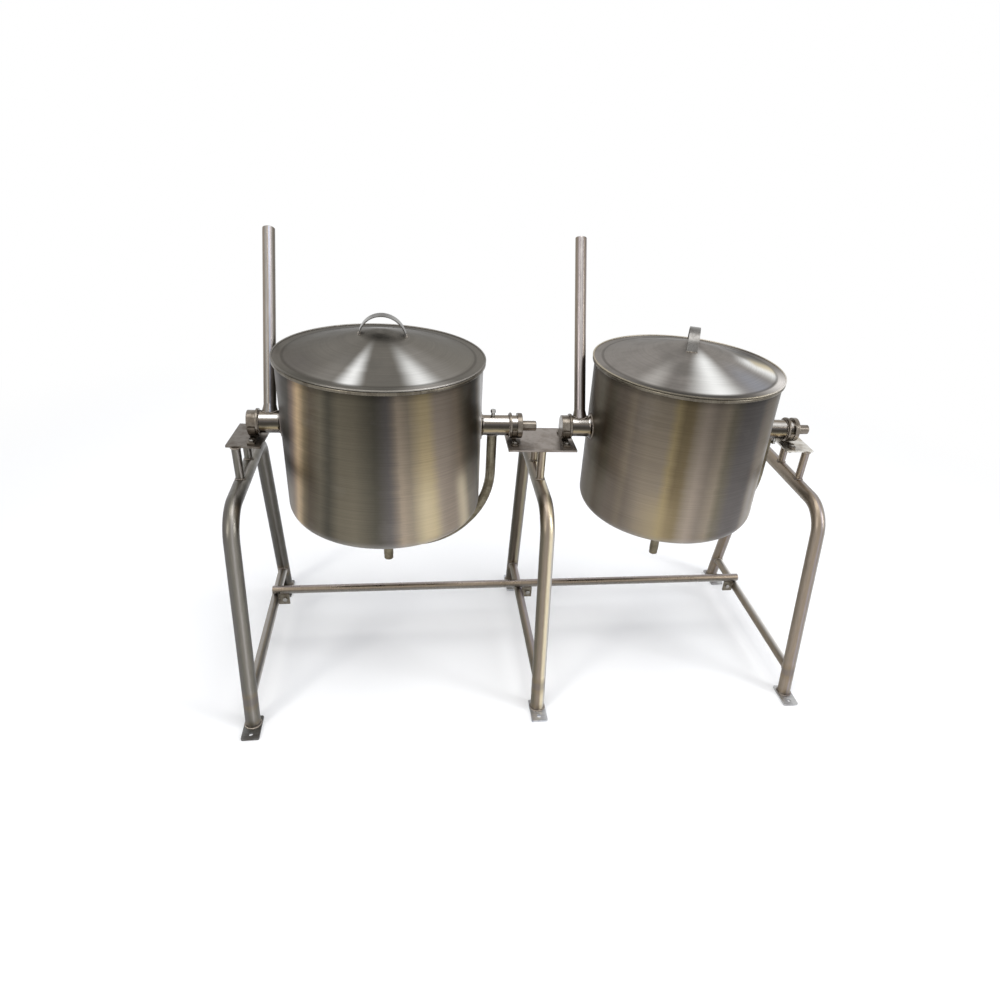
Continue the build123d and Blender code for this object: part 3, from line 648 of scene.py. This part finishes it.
# %% Bar finishes
def upright_bar_material(name, centre_x, half_width, bands, rough=(0.34, 0.46), tint=None,
                         rear=1.0, low_shade=1.0):
    """Painted reflection bands across the width of a bar that runs in the plane x = centre_x, with
    painted shade towards the back and the bottom where asked.
    """
    material, net = new_material(name)
    vector, (x, y, z) = centred(net, (centre_x, 0, 0))
    grain = use_group(net, DRAWN, vector, Scale=(700.0, 30.0, 30.0))
    across = maths(net, "MULTIPLY_ADD", x, 0.5 / half_width, 0.5)
    wobble = maths(net, "MULTIPLY_ADD", grain["Smudge"], 0.08, -0.04)
    colour = band_ramp(net, maths(net, "ADD", across, wobble), bands)
    shade = spread(net, grain["Grain"], 0.3, 0.7, 0.91, 1.06)
    # painted shade towards the back of the bar
    if rear != 1.0:
        shade = times(net, shade, spread(net, y, 0.05, 0.2, 1.0, rear))
    # painted shade towards the bottom of the bar
    if low_shade != 1.0:
        shade = times(net, shade,
                      spread(net, z, 0.78, 0.98, low_shade, 1.0))
    colour = shaded(net, colour, shade)
    if tint is not None:
        colour = tint(net, z, grain["Smudge"], colour)
    roughness = spread(net, grain["Smudge"], 0.35, 0.7, *rough)
    steel(net, colour, roughness, grain["Grain"], bump=0.03)
    return material


def level_bar_material(name, axis_y, axis_z, bands, rough=(0.16, 0.28)):
    """Bands round a bar that lies along X: 0 and 1 underneath, 0.5 on top."""
    material, net = new_material(name)
    vector, (x, y, z) = centred(net, (0, axis_y, axis_z))
    grain = use_group(net, DRAWN, vector, Scale=(700.0, 40.0, 40.0))
    front = times(net, y, -1.0)
    place = angle_position(net, z, front, 0.0)
    wobble = maths(net, "MULTIPLY_ADD", grain["Smudge"], 0.04, -0.02)
    colour = band_ramp(net, maths(net, "ADD", place, wobble), bands)
    lines = spread(net, grain["Grain"], 0.3, 0.7, 0.9, 1.06)
    colour = shaded(net, colour, lines)
    roughness = spread(net, grain["Smudge"], 0.35, 0.7, *rough)
    steel(net, colour, roughness, grain["Grain"], bump=0.06)
    return material


foot_z, spreader_z = 0.006, 0.085


def weld_tint(net, z, smudge, colour):
    """Straw and blue heat colours on a leg, close to its foot and its spreader."""
    for height, reach in ((foot_z, 0.024), (spreader_z, 0.03)):
        off = distance(net, z, height)
        off = maths(net, "ADD", off, maths(net, "MULTIPLY_ADD", smudge, 0.02, -0.01))
        for far, near, amount, heat in ((1.0, 0.4, 0.35, tone(120, 104, 78)),
                                        (0.5, 0.1, 0.25, tone(78, 84, 104))):
            stain = spread(net, off, far * reach, near * reach, 0.0, amount)
            colour = blend_colour(net, stain, colour, heat)
    return colour


def placed(names):
    """Palette names spread evenly from 0 to 1."""
    return [(index / (len(names) - 1), name) for index, name in enumerate(names)]


def bar_set(kind, middles, half_width, bands, settings=None):
    """One finish for each upright bar of a kind, by side."""
    return {side: upright_bar_material(f"{side}_{kind}", middles[side], half_width,
                                       placed(names), **(settings or {}).get(side, {}))
            for side, names in bands.items()}


def middle_of(node):
    """The middle of a frame piece's box."""
    low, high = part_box(node)
    return (low + high) / 2


frame_x = {side: middle_of(f"frame_{side}").x for side in FRAMES}
leg_r = (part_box("frame_left")[1].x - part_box("frame_left")[0].x) / 2
LEG_BANDS = {
    "left": ("moss", "slate", "ash", "ash", "iron", "lead", "pewter", "lead", "iron",
             "ash"),
    "middle": ("khaki", "khaki", "dun", "plum", "sand", "cream", "cream", "silver",
               "pewter"),
    "right": ("dun", "plum", "sand", "sand", "lilac", "plum", "pewter", "pewter",
              "light"),
}
REAR_SHADE = {"left": 0.62, "middle": 0.48, "right": 0.9}
leg_finish = bar_set("leg_tube", frame_x, leg_r, LEG_BANDS,
                     {side: {"tint": weld_tint, "rear": REAR_SHADE[side]} for side in FRAMES})
SPREADER_BANDS = {
    "left": ("stone", "dun", "pewter", "pewter", "pewter", "dun", "ash", "ash",
             "silver"),
    "middle": ("khaki", "khaki", "stone", "sand", "lilac", "lilac", "lilac", "pewter"),
    "right": ("dun", "dun", "pewter", "silver", "light", "mist", "mist"),
}
spreader_half, handle_half = 0.0134, 0.0155
spreader_finish = bar_set("spreader_tube", frame_x, spreader_half, SPREADER_BANDS)
handle_x = {side: middle_of(f"{side}_tilt_handle").x for side in SIDES}
HANDLE_BANDS = {
    "left": ("dun", "plum", "plum", "pewter", "pewter", "plum", "steel blue", "lilac",
             "pewter", "stone", "ash"),
    "right": ("dun", "plum", "lilac", "lilac", "silver", "lilac", "stone", "stone",
              "lilac", "silver"),
}
handle_finish = bar_set("handle_tube", handle_x, handle_half, HANDLE_BANDS,
                        {side: {"rough": (0.3, 0.4), "low_shade": 0.7} for side in SIDES})
TRUNNION_BANDS = (
    (0.0, "soot"), (0.42, "slate"), (0.465, "stone"), (0.517, "dun"), (0.55, "plum"),
    (0.58, "silver"), (0.61, "light"), (0.635, "pewter"), (0.655, "stone"), (0.675, "slate"),
    (0.70, "soot"), (0.725, "soot"), (0.75, "khaki"), (0.78, "straw"), (0.80, "sand"),
    (0.83, "ash"), (0.87, "slate"), (1.0, "soot"))
trunnion_finish = level_bar_material("trunnion_bar", axis_at["left"].y, axis_at["left"].z,
                                     TRUNNION_BANDS)
cross_middle = middle_of("cross_tube")
CROSS_BANDS = ((0.0, "slate"), (0.42, "dun"), (0.5, "lilac"), (0.6, "sand"), (0.66, "sand"),
               (0.7, "stone"), (0.74, "lead"), (0.8, "pewter"), (1.0, "slate"))
cross_finish = level_bar_material("cross_bar", cross_middle.y, cross_middle.z, CROSS_BANDS,
                                  (0.25, 0.4))
print("bars", leg_finish["left"].name, trunnion_finish.name)

# %% [markdown]
# ## Plates, pipes and fasteners
# Top plates, feet and clips are cut from flat bar with a coarse mill finish, rubbed and stained in
# use. Pipes are a little brown. Bolts and nuts are bright.

# %% Plain finishes
def stained_material(name, colour, stain, scale=(60.0, 900.0, 900.0), rough=(0.3, 0.5),
                     amount=0.7):
    """Flat or small pieces: drawn grain, with a darker or browner stain in soft patches."""
    material, net = new_material(name)
    vector, _ = centred(net, (0, 0, 0))
    grain = use_group(net, DRAWN, vector, Scale=scale)
    patch = spread(net, grain["Smudge"], 0.42, 0.66, 0.0, amount)
    mixed = blend_colour(net, patch, colour, stain)
    lines = spread(net, grain["Grain"], 0.3, 0.7, 0.84, 1.1)
    mixed = shaded(net, mixed, lines)
    roughness = spread(net, grain["Smudge"], 0.35, 0.7, *rough)
    steel(net, mixed, roughness, grain["Grain"], bump=0.15)
    return material


# name: (steel, stain, other settings). The plates and feet of the three frames are one steel:
# their tones, dark on the left frame and light on the middle and right ones, are painted
# reflection and shade.
PLAIN = {
    "left_plate": ((112, 106, 99), (86, 76, 66), {}),
    "middle_plate": ((142, 134, 127), (112, 101, 90), {"amount": 0.5}),
    "right_plate": ((214, 211, 204), (176, 166, 148), {}),
    "left_foot": ((112, 112, 110), (84, 80, 76), {}),
    "middle_foot": ((206, 207, 210), (140, 146, 158), {}),
    "right_foot": ((188, 188, 188), (126, 124, 126), {}),
    "pipe": ((124, 117, 100), (86, 78, 62), {}),
    "cap": ((126, 119, 110), (84, 75, 65), {"rough": (0.2, 0.34)}),
    "clip": ((132, 126, 114), (92, 82, 66), {}),
    "cradle": ((118, 110, 100), (76, 68, 60), {}),
    "bolt": ((168, 166, 162), (120, 112, 100), {"rough": (0.2, 0.35)}),
    "strap": ((122, 120, 117), (92, 89, 85), {"rough": (0.24, 0.38)}),
    "rim": ((112, 106, 95), (78, 72, 62),
            {"scale": (500.0, 500.0, 9.0), "rough": (0.32, 0.45)}),
    "bowl": ((186, 184, 180), (158, 154, 146), {"scale": (60.0, 60.0, 900.0)}),
    "weld": ((146, 138, 128), (92, 84, 84),
             {"scale": (300.0, 300.0, 300.0), "rough": (0.26, 0.42)}),
}
plain = {name: stained_material(name, tone(*steel_rgb), tone(*stain_rgb), **settings)
         for name, (steel_rgb, stain_rgb, settings) in PLAIN.items()}
print("finishes", len(bpy.data.materials))

# %% [markdown]
# ## Round shells
# The jacket, bowl, rim ring and lid are spun or rolled on the kettle's own axis. Turning a closed
# outline about that axis makes each of them, with true arcs at the knuckle, the nose and the
# edges, so the silhouette stays smooth. The sizes are those of the frame's pieces.

# %% Turned shells
SEGMENTS = 256
MM = 0.001
jacket_r, shell_t = 250, 3
rim_low, rim_high = 172, 181
brim_low, brim_top, cone_edge_r, lid_rise = 181.3, 183.3, 231.5, 64
body_of = {node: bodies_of(obj)[0] for node, obj in nodes.items()}


def place_piece(name, mesh, material, *replaced):
    """A finished piece that stands for these frame pieces and moves with their body."""
    obj = bpy.data.objects.new(name, mesh)
    bpy.context.scene.collection.objects.link(obj)
    mesh.materials.clear()
    mesh.materials.append(material)
    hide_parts(*replaced)
    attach(obj, body_of[replaced[0]])
    return obj


def arc(centre, radius, start_deg, end_deg, steps):
    """Points on an arc of an outline. Angles start straight out and go up."""
    turns = [math.radians(start_deg + (end_deg - start_deg) * i / steps)
             for i in range(steps + 1)]
    return [(centre[0] + radius * math.cos(a), centre[1] + radius * math.sin(a))
            for a in turns]


def dish(radius, knuckle, crown, drop):
    """Outline of a dished end, from its tangent line in to the middle."""
    in_r = radius - knuckle
    rise = math.sqrt((crown - knuckle) ** 2 - in_r ** 2)
    lean = math.degrees(math.atan2(-rise, in_r))
    return (arc((in_r, -drop), knuckle, 0, lean, 14)
            + arc((0, rise - drop), crown, lean, -90, 24)[1:])


def lathe(name, centre, outline):
    """Turns a closed outline of (radius, height) millimetres about the upright axis."""
    work = bmesh.new()
    rings = []
    for radius, up in outline:
        turns = 1 if radius < 0.01 else SEGMENTS
        rings.append([work.verts.new((
            centre.x + MM * radius * math.cos(2 * math.pi * k / turns),
            centre.y + MM * radius * math.sin(2 * math.pi * k / turns),
            centre.z + MM * up)) for k in range(turns)])
    for ring, following in zip(rings, rings[1:] + rings[:1]):
        if len(ring) == len(following) == 1:
            continue
        for k in range(SEGMENTS):
            corners = [ring[k % len(ring)], ring[(k + 1) % len(ring)],
                       following[(k + 1) % len(following)], following[k % len(following)]]
            work.faces.new(list(dict.fromkeys(corners)))
    bmesh.ops.recalc_face_normals(work, faces=work.faces)
    mesh = bpy.data.meshes.new(name)
    work.to_mesh(mesh)
    work.free()
    mesh.shade_smooth()
    mesh.set_sharp_from_angle(angle=math.radians(32))
    return mesh


def shell_outline(radius, knuckle, crown, drop):
    """A plate thick shell: down the outside to the middle, and back up the inside."""
    outside = [(radius, rim_low), (radius, 0)] + dish(radius, knuckle, crown, drop)
    inside = [(radius - shell_t, rim_low), (radius - shell_t, 0)] + dish(
        radius - shell_t, knuckle - shell_t, crown - shell_t, drop)
    return outside + inside[::-1]


def rim_outline():
    """Flat ring over the steam space, rounded outside and barely eased inside."""
    edge = 3
    out = 256 - edge
    return ([(222, rim_low), *arc((out, rim_low + edge), edge, -90, 0, 6),
             *arc((out, rim_high - edge), edge, 0, 90, 6)]
            + arc((222.8, rim_high - 0.8), 0.8, 90, 180, 3))


def cone_up(radius):
    """Height of the lid's cone over its brim."""
    return lid_rise * (1 - radius / cone_edge_r)


def lid_outline():
    """Round nose, straight cone, eased crease, flat brim with a bead, and the skirt below."""
    nose_r, bead_r, ease, skirt_r, skirt_t, skirt_drop = 26, 2.2, 5, 219, 2, 9
    slope = math.atan2(lid_rise, cone_edge_r)
    nose_arc = nose_r / math.sin(slope)
    nose_centre = cone_up(nose_r) - nose_arc * math.cos(slope)
    lean = math.degrees(slope)
    bead = (256.5 - bead_r, brim_low + bead_r)
    top = arc((0, brim_top + nose_centre), nose_arc, 90, 90 - lean, 10)
    crease = []
    for step in range(7):
        t = step / 6
        crease.append((cone_edge_r + ease * (2 * t - 1),
                       brim_top + (1 - t) ** 2 * cone_up(cone_edge_r - ease)))
    rim = arc(bead, bead_r, 185, -90, 16)
    under = [(cone_edge_r, brim_low), (skirt_r, brim_low + cone_up(skirt_r)),
             (skirt_r, brim_low - skirt_drop), (skirt_r - skirt_t, brim_low - skirt_drop),
             (skirt_r - skirt_t, brim_low + cone_up(skirt_r - skirt_t))]
    inner = arc((0, brim_low + nose_centre), nose_arc, 90 - lean, 90, 10)
    return top + crease + rim + under + inner


for side in SIDES:
    centre = axis_at[side]
    for node, outline, material in (
            (f"{side}_jacket", shell_outline(jacket_r, 41, 450, 202), wall_finish[side]),
            (f"{side}_bowl", shell_outline(225, 36, 425, 182), plain["bowl"]),
            (f"{side}_rim_ring", rim_outline(), plain["rim"]),
            (f"{side}_lid", lid_outline(), lid_finish[side])):
        piece = place_piece(f"{node}_turned", lathe(f"{node}_turned", centre, outline),
                            material, node)
        print(piece.name, len(piece.data.polygons), "faces")

# %% [markdown]
# ## Cut edges
# Sheared plate, sawn straps and hexagon heads never have knife edges. A copy of each such piece has
# its flat faces made whole and its corners rounded by half a millimetre or so, and those roundings
# catch the light as thin bright lines.

# %% Softened pieces
def softened(node, width_mm, material):
    """A copy of a frame piece with clean flat faces and rounded corners."""
    work = bmesh.new()
    work.from_mesh(nodes[node].data)
    bmesh.ops.remove_doubles(work, verts=work.verts, dist=1e-5)
    bmesh.ops.dissolve_limit(work, angle_limit=math.radians(1), verts=work.verts,
                             edges=work.edges)
    corners = [edge for edge in work.edges
               if edge.is_manifold and edge.calc_face_angle(0) > math.radians(30)]
    bmesh.ops.bevel(work, geom=corners, offset=width_mm * MM, segments=2, profile=0.5,
                    affect="EDGES", clamp_overlap=True)
    bmesh.ops.recalc_face_normals(work, faces=work.faces)
    mesh = bpy.data.meshes.new(f"{node}_soft")
    work.to_mesh(mesh)
    work.free()
    mesh.shade_smooth()
    obj = place_piece(f"{node}_soft", mesh, material, node)
    weighted = obj.modifiers.new("face_weighted", "WEIGHTED_NORMAL")
    weighted.keep_sharp = True
    return obj


to_soften = [row for side in FRAMES
             for row in ((f"top_plate_{side}", 0.8, f"{side}_plate"),
                         (f"feet_{side}", 0.9, f"{side}_foot"))]
to_soften += [("clip_ears", 0.6, "clip"), ("clip_tabs", 0.6, "clip")]
to_soften += [(node, 0.5, "bolt")
              for node in ("clip_bolts", "clip_nuts", "cradle_bolts", "cradle_nuts")]
to_soften += [row for side in SIDES
              for row in ((f"cradle_{side}_handle", 0.8, "cradle"),
                          (f"cradle_{side}_steam", 0.8, "cradle"),
                          (f"{side}_journal_cap", 0.5, "cap"), (f"{side}_collars", 0.8, "cap"),
                          (f"{side}_vent_plug", 0.5, "bolt"),
                          (f"{side}_lid_handle", 0.7, "strap"))]
soft = [softened(node, width, plain[finish]) for node, width, finish in to_soften]
print(len(soft), "softened, faces", [len(obj.data.polygons) for obj in soft])

# %% [markdown]
# ## Weld beads
# The stand and the trunnions are welded by hand, one small puddle after another, so a bead is a row
# of overlapping scales along the line where two pieces meet. Where two tubes meet, that line is a
# saddle curve, worked out from the two cylinders. A node tree then sets a flattened ball at each
# step along every line, and varies its size a little.

# %% Bead node tree
BEAD_PITCH = 0.0019


def bead_tree():
    """Geometry nodes: edge loops with a bead radius become rows of flattened balls."""
    tree = bpy.data.node_groups.new("weld_beads", "GeometryNodeTree")
    for socket, kind in (("Geometry", "Geometry"), ("Pitch", "Float"), ("Seed", "Int"),
                         ("Finish", "Material")):
        tree.interface.new_socket(socket, in_out="INPUT", socket_type=SOCKET + kind)
    tree.interface.new_socket("Geometry", in_out="OUTPUT", socket_type=SOCKET + "Geometry")
    net = net_of(tree)
    start, end = net.new("NodeGroupInput"), net.new("NodeGroupOutput")
    curve = net.new("GeometryNodeMeshToCurve")
    steps = net.new("GeometryNodeResampleCurve")
    steps.mode = "LENGTH"
    ball = net.new("GeometryNodeMeshUVSphere")
    preset(ball, {"Segments": 10, "Rings": 6, "Radius": 1.0})
    radius = net.new("GeometryNodeInputNamedAttribute")
    radius.data_type = "FLOAT"
    preset(radius, {"Name": "bead"})
    vary = net.new("FunctionNodeRandomValue")
    vary.data_type = "FLOAT"
    vary.inputs[2].default_value, vary.inputs[3].default_value = 0.88, 1.12
    wide = maths(net, "MULTIPLY", radius.outputs[0], vary.outputs[1])
    thin = maths(net, "MULTIPLY", wide, 0.8)
    scale = net.new("ShaderNodeCombineXYZ")
    for socket, value in zip(scale.inputs, (wide, wide, thin)):
        net.link(value, socket)
    tangent = net.new("GeometryNodeInputTangent")
    turn = net.new("FunctionNodeAlignRotationToVector")
    turn.axis = "Z"
    scatter = net.new("GeometryNodeInstanceOnPoints")
    real = net.new("GeometryNodeRealizeInstances")
    smooth = net.new("GeometryNodeSetShadeSmooth")
    finish = net.new("GeometryNodeSetMaterial")
    for source, output, target, socket in (
            (start, "Geometry", curve, "Mesh"), (curve, "Curve", steps, "Curve"),
            (start, "Pitch", steps, "Length"), (start, "Seed", vary, "Seed"),
            (tangent, 0, turn, "Vector"), (steps, "Curve", scatter, "Points"),
            (ball, "Mesh", scatter, "Instance"), (turn, 0, scatter, "Rotation"),
            (scale, 0, scatter, "Scale"), (scatter, "Instances", real, "Geometry"),
            (real, 0, smooth, "Geometry"), (smooth, 0, finish, "Geometry"),
            (start, "Finish", finish, "Material"), (finish, 0, end, "Geometry")):
        net.link(source.outputs[output], target.inputs[socket])
    return tree


BEADS = bead_tree()


def lay_beads(name, body, lines, seed):
    """One mesh of beads along lines of (points, closed, bead radius), riding on a body."""
    points, edges, radii = [], [], []
    for path, closed, bead in lines:
        first, count = len(points), len(path)
        points += path
        radii += [bead] * count
        edges += [(first + k, first + (k + 1) % count) for k in range(count - (not closed))]
    mesh = bpy.data.meshes.new(f"{name}_lines")
    mesh.from_pydata(points, edges, [])
    mesh.attributes.new("bead", "FLOAT", "POINT").data.foreach_set("value", radii)
    guide = bpy.data.objects.new(f"{name}_lines", mesh)
    bpy.context.scene.collection.objects.link(guide)
    modifier = guide.modifiers.new("beads", "NODES")
    modifier.node_group = BEADS
    wanted = {"Pitch": BEAD_PITCH, "Seed": seed, "Finish": plain["weld"]}
    for item in BEADS.interface.items_tree:
        if item.in_out == "INPUT" and item.name in wanted:
            modifier[item.identifier] = wanted[item.name]
    graph = bpy.context.evaluated_depsgraph_get()
    baked = bpy.data.meshes.new_from_object(guide.evaluated_get(graph))
    baked.name = name
    bpy.data.objects.remove(guide)
    obj = bpy.data.objects.new(name, baked)
    bpy.context.scene.collection.objects.link(obj)
    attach(obj, body)
    print(name, len(lines), "lines", len(baked.polygons), "faces")


# %% Lines where pieces meet
def round_points(centre, direction, radius, count=96):
    """Points on a circle square to a direction."""
    first = direction.orthogonal().normalized()
    second = direction.cross(first).normalized()
    turns = [2 * math.pi * k / count for k in range(count)]
    return [Vector(centre) + radius * (math.cos(a) * first + math.sin(a) * second)
            for a in turns]


def saddle(centre, direction, radius, main_point, main_dir, main_r):
    """Where a round branch of this radius leaves a main cylinder."""
    direction, main_dir = Vector(direction).normalized(), Vector(main_dir).normalized()
    along = direction - main_dir * direction.dot(main_dir)
    points = []
    for start in round_points(centre, direction, radius):
        gap = start - Vector(main_point)
        gap -= main_dir * gap.dot(main_dir)
        half = gap.dot(along) / along.length_squared
        rest = (gap.length_squared - main_r ** 2) / along.length_squared
        points.append(start + direction * (-half + math.sqrt(max(half * half - rest, 0))))
    return points


def cut_ring(centre, direction, radius, plane_point, normal):
    """Where a round bar of this radius passes through a plane."""
    direction, normal = Vector(direction).normalized(), Vector(normal)
    return [start + direction * ((Vector(plane_point) - start).dot(normal)
                                 / direction.dot(normal))
            for start in round_points(centre, direction, radius)]


ARM_Z, PLATE_LOW_Z, KNEES = 0.590, 0.693, ((-0.3015, -0.2055), (0.3305, 0.2195))
POST_Y, POST_R, LEG_R, SPREADER_R = (-0.048, 0.067), 0.011, 0.01905, 0.01335
FRAME_AT = {"left": (-0.765, 1), "middle": (0.0, 1), "right": (0.765, -1)}
UP, ACROSS = Vector((0, 0, 1)), Vector((1, 0, 0))
CLIP_Y, CLIP_T, CROSS_R, CROSS_Y, CROSS_Z = 0.1405, 0.004, 0.0127, 0.1555, 0.11105

# beads sit a little proud of the metal, and their lines a little off it
LIFT, FAR_LIFT = 0.0004, 0.0006

stand_lines = []
for side, (x, inward) in FRAME_AT.items():
    for y in POST_Y:
        post = (x, y, ARM_Z)
        stand_lines += [
            (saddle(post, UP, POST_R + FAR_LIFT, (x, 0, ARM_Z), (0, 1, 0), LEG_R + LIFT),
             True, 0.0022),
            (cut_ring(post, UP, POST_R + FAR_LIFT, (x, y, PLATE_LOW_Z - FAR_LIFT), UP),
             True, 0.0021)]
    for (foot_y, knee_y), way in zip(KNEES, (1, -1)):
        leg = Vector((0, knee_y - foot_y, ARM_Z))
        foot = Vector((x, foot_y, 0))
        meets = foot + leg * (spreader_z / ARM_Z)
        stand_lines += [
            (saddle(meets, (0, way, 0), SPREADER_R + FAR_LIFT, foot, leg, LEG_R + LIFT),
             True, 0.0023),
            (cut_ring(foot, leg, LEG_R + 2 * LIFT, (0, 0, foot_z + FAR_LIFT), UP),
             True, 0.0027)]
    for y in (CLIP_Y - LIFT, CLIP_Y + CLIP_T + LIFT):
        turns = [math.radians(-44 + 8 * k) for k in range(12)]
        radius = SPREADER_R + LIFT
        stand_lines.append(([Vector((x + inward * radius * math.cos(a), y,
                                     spreader_z + radius * math.sin(a)))
                             for a in turns], False, 0.0018))
    for y in (CLIP_Y + CLIP_T - LIFT, CLIP_Y + 2 * CLIP_T + FAR_LIFT):
        z = CROSS_Z - math.sqrt((CROSS_R + LIFT) ** 2 - (y - CROSS_Y) ** 2)
        middle = x + inward * 0.029
        stand_lines.append(([Vector((middle + 0.002 * k, y, z)) for k in range(-5, 6)],
                            False, 0.0016))
lay_beads("stand_weld_beads", "stand", stand_lines, 3)

HANDLE_LEAN = {"left": 34, "right": 26}
STRAP_TURN = {"left": (0, 0.005), "right": (70, 0.0)}


def strap_ends(side):
    """Lines across a lid handle where its arch runs into the cone, outside and inside."""
    turn, shift = STRAP_TURN[side]
    along = Vector((math.cos(math.radians(turn)), math.sin(math.radians(turn)), 0))
    wide = Vector((-along.y, along.x, 0))
    middle = axis_at[side] + Vector((shift, 0, MM * (brim_low + 41.2)))
    lines = []
    for way in (-1, 1):
        for arch_r in (0.0578, 0.0542):
            path = []
            for step in range(-6, 7):
                lift = 0.01
                for _ in range(6):
                    out = math.sqrt(arch_r ** 2 - lift ** 2)
                    spot = middle + along * (way * out) + wide * (step * 0.0022)
                    from_axis = (spot - axis_at[side]).xy.length / MM
                    lift = MM * (brim_top + cone_up(from_axis)) - (middle.z - axis_at[side].z)
                path.append(spot + UP * lift)
            lines.append((path, False, 0.0015))
    return lines


for side in SIDES:
    centre = axis_at[side]
    lean = math.radians(HANDLE_LEAN[side])
    handle_dir = (0, math.sin(lean), math.cos(lean))
    pipe_low = centre - UP * 0.358
    lines = [(saddle(centre, way * ACROSS, 0.0349, centre, UP, 0.2503), True, 0.0021)
             for way in (1, -1)]
    lines += [
        (saddle(centre - ACROSS * 0.278, handle_dir, 0.0209, centre, ACROSS, 0.0274), True,
         0.0022),
        (saddle(centre + ACROSS * 0.281, -UP, 0.0139, centre, ACROSS, 0.0274), True, 0.0021),
        (saddle(pipe_low, ACROSS, 0.0136, pipe_low, UP, 0.0136), True, 0.0018)]
    lines += [(cut_ring(centre, way, radius, centre + way * out, way), True, bead)
              for way, radius, out, bead in (
                  (UP, 0.0139, -0.3006, 0.0022), (ACROSS, 0.0275, -0.3026, 0.0019),
                  (ACROSS, 0.0275, 0.3246, 0.0019), (ACROSS, 0.0137, 0.3594, 0.0017))]
    lay_beads(f"{side}_kettle_weld_beads", f"{side}_kettle", lines, 5)
    lay_beads(f"{side}_lid_weld_beads", f"{side}_lid", strap_ends(side), 7)

# %% [markdown]
# ## Dressing the frame's pieces
# The bent tubes, the trunnions and the pipes keep the shape the frame gives them, so they only need
# their finish.

# %% Finishes on the frame
def dress(node, material):
    """Gives a frame piece this finish."""
    nodes[node].data.materials.clear()
    nodes[node].data.materials.append(material)


for side in FRAMES:
    dress(f"frame_{side}", leg_finish[side])
    dress(f"posts_{side}", leg_finish[side])
    dress(f"spreader_{side}", spreader_finish[side])
dress("cross_tube", cross_finish)
for side in SIDES:
    for names, finish in ((("handle_trunnion", "steam_trunnion"), trunnion_finish),
                          (("tilt_handle", "handle_plug"), handle_finish[side]),
                          (("steam_flange", "steam_nipple"), plain["cap"]),
                          (("siphon_pipe", "drain_stub"), plain["pipe"])):
        for name in names:
            dress(f"{side}_{name}", finish)
shown = [node for node in nodes.values() if not node.hide_render]
print("dressed", sum(bool(node.data.materials) for node in shown), "of", len(shown))
